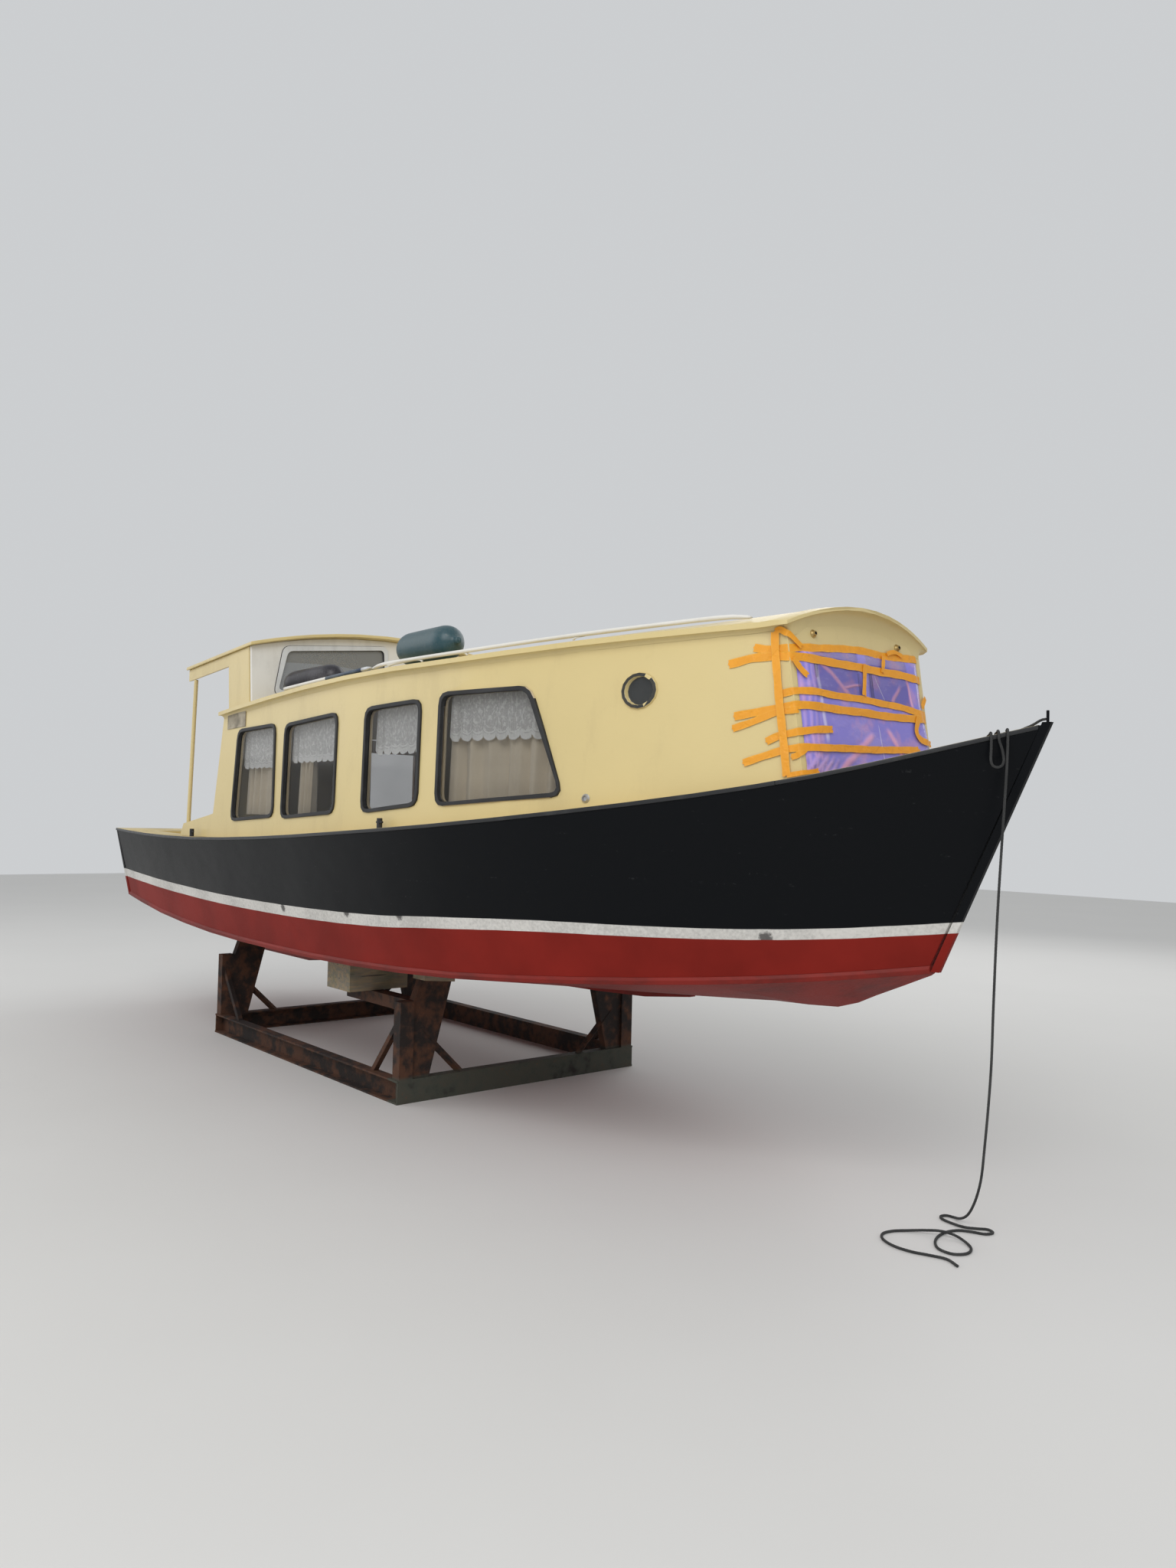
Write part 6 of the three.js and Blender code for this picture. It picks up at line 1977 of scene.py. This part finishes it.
@dataclass
class RoofFender:
    """Inflated fender that lies on the roof, with an eye at both ends.

    fore and aft are the X and Y of its two ends, and lift is the height of its
    middle line over the roof. A shoulder is given by lengths and shares of the
    radius, and ribs lie between the shoulders.
    """

    node: str
    fore: tuple[float, float]
    aft: tuple[float, float]
    radius: float
    neck: float
    lift: float
    finish: Finish
    shoulder: tuple[tuple[float, float], ...] = ((0.045, 0.52), (0.066, 0.78), (0.095, 0.93), (0.130, 0.992))
    rib_start: float = 0.15
    ribs: int = 12
    sunk: float = 0.996
    eye: float = 0.011
    wire: float = 0.0045

    def profile(self, long: float) -> list[tuple[float, float]]:
        """Heights and radii from one end to the other."""
        r, n = self.radius, self.neck
        half = [(0.0, 0.7 * n), (0.004, 0.98 * n), (0.024, n), (0.030, 1.02 * n)]
        half += [(h, share * r) for h, share in self.shoulder]
        span = long - 2 * self.rib_start
        ribs = [
            (self.rib_start + span * k / self.ribs, r * (self.sunk if k % 2 else 1.0))
            for k in range(self.ribs + 1)
        ]
        return [*half, *ribs, *((long - h, w) for h, w in reversed(half))]

    def ring(self, end: Vector, other: Vector) -> Any:
        """The eye at one end."""
        inward = (other - end).normalized()
        line = []
        for k in range(21):
            a = math.tau * k / 20
            rise = Vector((0, 0, self.eye * math.sin(a)))
            line.append(end + inward * (0.010 + self.eye * math.cos(a)) + rise)
        return tube(line, self.wire, 8)

    def build(self) -> Iterator[Any]:
        """Builds the fender."""
        fore, aft = over_roof(*self.fore, self.lift), over_roof(*self.aft, self.lift)
        body = settle(turned(self.profile((aft - fore).length), 40), towards(fore, aft))
        modify(body, "SUBSURF", levels=1, render_levels=1)
        smooth(body, 50)
        whole = joined([body, self.ring(fore, aft), self.ring(aft, fore)])
        smooth(whole, 50)
        finished(whole, self.node + "_dressed", (self.finish,))
        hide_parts(self.node)
        yield whole


@dataclass
class Boathook:
    """Boathook along the roof's edge: painted pole, blue grip and alloy head.

    grip and head are lengths from the tip to where each begins.
    """

    fore: tuple[float, float] = (0.575, -1.300)
    aft: tuple[float, float] = (-0.620, -1.306)
    lift: float = 0.0200
    radius: float = 0.0126
    grip: float = 0.58
    head: float = 0.11
    claw: float = 0.0045

    def hook(self, long: float) -> list[Vector]:
        """Middle line of the claw beside the tip."""
        turns = [math.pi * k / 11 for k in range(12)]
        return [
            Vector((0.004 + 0.020 * (1 - math.cos(a)) / 1.4, 0, long - 0.060 + 0.022 * math.sin(a)))
            for a in turns
        ]

    def build(self) -> Iterator[Any]:
        """Builds the pole, its grip and its head."""
        start, end = over_roof(*self.aft, self.lift), over_roof(*self.fore, self.lift)
        long, r, place = (end - start).length, self.radius, towards(start, end)
        grip, head = long - self.grip, long - self.head
        shapes = (
            ("pole", WHITE, [(0.0, 0.6 * r), (0.004, 0.95 * r), (0.02, r), (grip, r),
                             (grip + 0.003, 0.9 * r), (long - 0.10, 0.9 * r)]),
            ("grip", GRIP_BLUE, [(grip, 0.93 * r), (grip + 0.002, 1.05 * r),
                                 (head - 0.002, 1.05 * r), (head, 0.93 * r)]),
            ("head", ALLOY, [(head, 0.95 * r), (head + 0.002, 1.08 * r), (long - 0.05, 1.0 * r),
                             (long - 0.02, 0.6 * r), (long, 0.3 * r)]),
        )
        for word, finish, profile in shapes:
            piece = settle(turned(profile, 20), place)
            if word == "head":
                piece = joined([piece, tube([place @ p for p in self.hook(long)], self.claw, 8)])
            smooth(piece, 50)
            finished(piece, f"boathook_{word}", (finish,))
            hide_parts("boathook")
            yield piece


@dataclass
class Fittings:
    """Blank plate, eye sockets and the outlet in the cabin side, placed by their pixels.

    Turned parts are given by heights over the wall and radii.
    """

    plate_corners: tuple[Pixel, ...] = ((298, 934), (321, 929), (322, 948), (299, 953))
    plate_thick: float = 0.006
    plate_rim: float = 0.010
    plate_sunk: float = 0.0022
    screw_inset: float = 0.017
    screw: tuple[tuple[float, float], ...] = (
        (0.0, 0.0052), (0.0012, 0.0052), (0.0024, 0.0036), (0.0028, 0.001))
    sockets: tuple[Pixel, ...] = ((1062, 828), (1171, 847))
    socket_shape: tuple[tuple[float, float], ...] = (
        (0.0, 0.021), (0.003, 0.021), (0.006, 0.016), (0.014, 0.013),
        (0.018, 0.012), (0.018, 0.008), (0.004, 0.007), (0.003, 0.0008),
    )
    socket_hole: float = 0.0078
    outlet: Pixel = (765, 1043)
    outlet_shape: tuple[tuple[float, float], ...] = (
        (0.0, 0.024), (0.003, 0.024), (0.006, 0.020), (0.012, 0.017),
        (0.014, 0.015), (0.010, 0.012), (0.002, 0.011), (0.001, 0.0008),
    )

    def blank(self, wide: float, tall: float) -> Any:
        """The plate's body at the origin, with a raised rim round a sunken field."""
        bpy.ops.object.select_all(action="DESELECT")
        bpy.ops.mesh.primitive_cube_add(size=1)
        body = settle(bpy.context.object, Matrix.Diagonal((wide, tall, self.plate_thick, 1)))

        def rim() -> None:
            """Insets the front twice and sinks the field."""
            bpy.ops.mesh.inset(thickness=self.plate_rim)
            bpy.ops.mesh.inset(thickness=0.003, depth=-self.plate_sunk)

        pick(body, lambda face: face.normal.z > 0.9)
        in_edit(body, rim, everything=False)
        return body

    def plate(self) -> Any:
        """Blank cast plate with four screws, on the cabin's starboard side."""
        tree = sight("cabin_side_starboard")
        corners = [seen(tree, pixel) for pixel in self.plate_corners]
        middle = sum((c[0] for c in corners), Vector()) / 4
        normal = sum((c[1] for c in corners), Vector()).normalized()
        along = (corners[1][0] - corners[0][0]).normalized()
        along = (along - normal * along.dot(normal)).normalized()
        up = normal.cross(along)
        wide = (corners[1][0] - corners[0][0]).length
        tall = abs((corners[3][0] - corners[0][0]).dot(up))
        parts = [self.blank(wide, tall)]
        for sx in (-1, 1):
            for sy in (-1, 1):
                x, y = sx * (wide / 2 - self.screw_inset), sy * (tall / 2 - self.screw_inset)
                field = self.plate_thick / 2 - self.plate_sunk
                parts.append(settle(turned(self.screw, 12), Matrix.Translation((x, y, field))))
        turn = Matrix((along, up, normal)).transposed().to_4x4()
        out = Matrix.Translation(middle + normal * (self.plate_thick / 2 + 0.0004))
        whole = settle(joined(parts), out @ turn)
        ease(whole, 0.0015)
        return finished(whole, "blank_plate", (PEWTER,))

    def stud(self, tree: BVHTree, pixel: Pixel, profile: Sequence[tuple[float, float]], sides: int) -> Any:
        """A turned part that stands on the surface behind a pixel."""
        point, normal = seen(tree, pixel)
        shape = settle(turned(profile, sides), towards(point - normal * 0.0005, point + normal))
        smooth(shape, 40)
        return shape

    def socket(self, pixel: Pixel, name: str) -> Any:
        """Brass flange with a dark eye, under the visor."""
        tree = sight("cabin_front", "cabin_roof", "eave_cove")
        shape = self.stud(tree, pixel, self.socket_shape, 24)
        finished(shape, name, (BRASS, RUBBER))
        point, axis = seen(tree, pixel)
        for face in shape.data.polygons:
            away = face.center - point
            face.material_index = int((away - axis * away.dot(axis)).length < self.socket_hole)
        return shape

    def drain(self) -> Any:
        """Steel outlet low in the cabin side."""
        shape = self.stud(sight("cabin_side_starboard"), self.outlet, self.outlet_shape, 28)
        return finished(shape, "cabin_outlet", (STEEL,))

    def build(self) -> Iterator[Any]:
        """Builds the pieces one by one."""
        yield self.plate()
        for pixel, side in zip(self.sockets, Side):
            yield self.socket(pixel, f"eye_socket_{side.word}")
        yield self.drain()


# Studio

@dataclass
class Studio:
    """Pale floor, soft light and a pale sky."""

    floor_half: float = 26.0
    sky: Colour = (0.84, 0.86, 0.88)
    sky_strength: float = 0.72

    def light(self, name: str, place: Point, aim: Point, size: float, power: float) -> None:
        """One soft square light."""
        data = bpy.data.lights.new(name, "AREA")
        data.shape, data.size, data.energy = "SQUARE", size, power
        lamp = bpy.data.objects.new(name, data)
        bpy.context.scene.collection.objects.link(lamp)
        lamp.location = place
        lamp.rotation_mode = "QUATERNION"
        lamp.rotation_quaternion = (Vector(aim) - Vector(place)).to_track_quat("-Z", "Y")

    def build(self) -> Iterator[Any]:
        """Builds the floor, the sky and the lights."""
        bpy.ops.object.select_all(action="DESELECT")
        bpy.ops.mesh.primitive_grid_add(x_subdivisions=8, y_subdivisions=8, size=2 * self.floor_half)
        floor = bpy.context.object
        floor.name = "studio_floor"
        floor.data.materials.append(StudioFloor("studio_floor", "cream").material())
        floor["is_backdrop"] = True
        world = bpy.data.worlds.new("studio_sky")
        world.use_nodes = True
        sky = world.node_tree.nodes["Background"]
        sky.inputs[0].default_value = (*self.sky, 1)
        sky.inputs[1].default_value = self.sky_strength
        bpy.context.scene.world = world
        bpy.context.scene.view_settings.view_transform = "Standard"
        self.light("key_light", (7.5, -9.0, 9.5), (0.5, 0, 1.4), 8.0, 700)
        self.light("fill_light", (-9.0, -8.0, 7.0), (-1.0, 0, 1.2), 9.0, 260)
        self.light("back_light", (-2.0, 10.0, 8.0), (0, 0, 1.6), 9.0, 300)
        yield floor


def main() -> None:
    """Builds the boat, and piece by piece."""
    logging.basicConfig(level=logging.INFO, format="%(name)s: %(message)s")
    PHOTO.build()
    blue = RoofFender("roof_fender_blue", fore=(1.200, -1.078), aft=(0.535, -1.062),
                      radius=0.104, neck=0.022, lift=0.10775, finish=BLUE_VINYL)
    black = RoofFender("roof_fender_black", fore=(-0.560, -0.880), aft=(-1.130, -1.070),
                       radius=0.092, neck=0.016, lift=0.0951, finish=BLACK_VINYL)
    makers = (BowRope(), Hull(), Cabin(), Coachroof(), Plain(), Curtains(), Masking(),
              blue, black, Boathook(), Fittings(), Studio())
    for maker in makers:
        for piece in maker.build():
            LOG.info("%s: %s, %d faces", type(maker).__name__, piece.name, len(piece.data.polygons))
    boxes = {"cad": CAD_BOX, "visual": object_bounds()}
    {name: [list(corner) for corner in box] for name, box in boxes.items()}


if __name__ == "__main__":
    main()
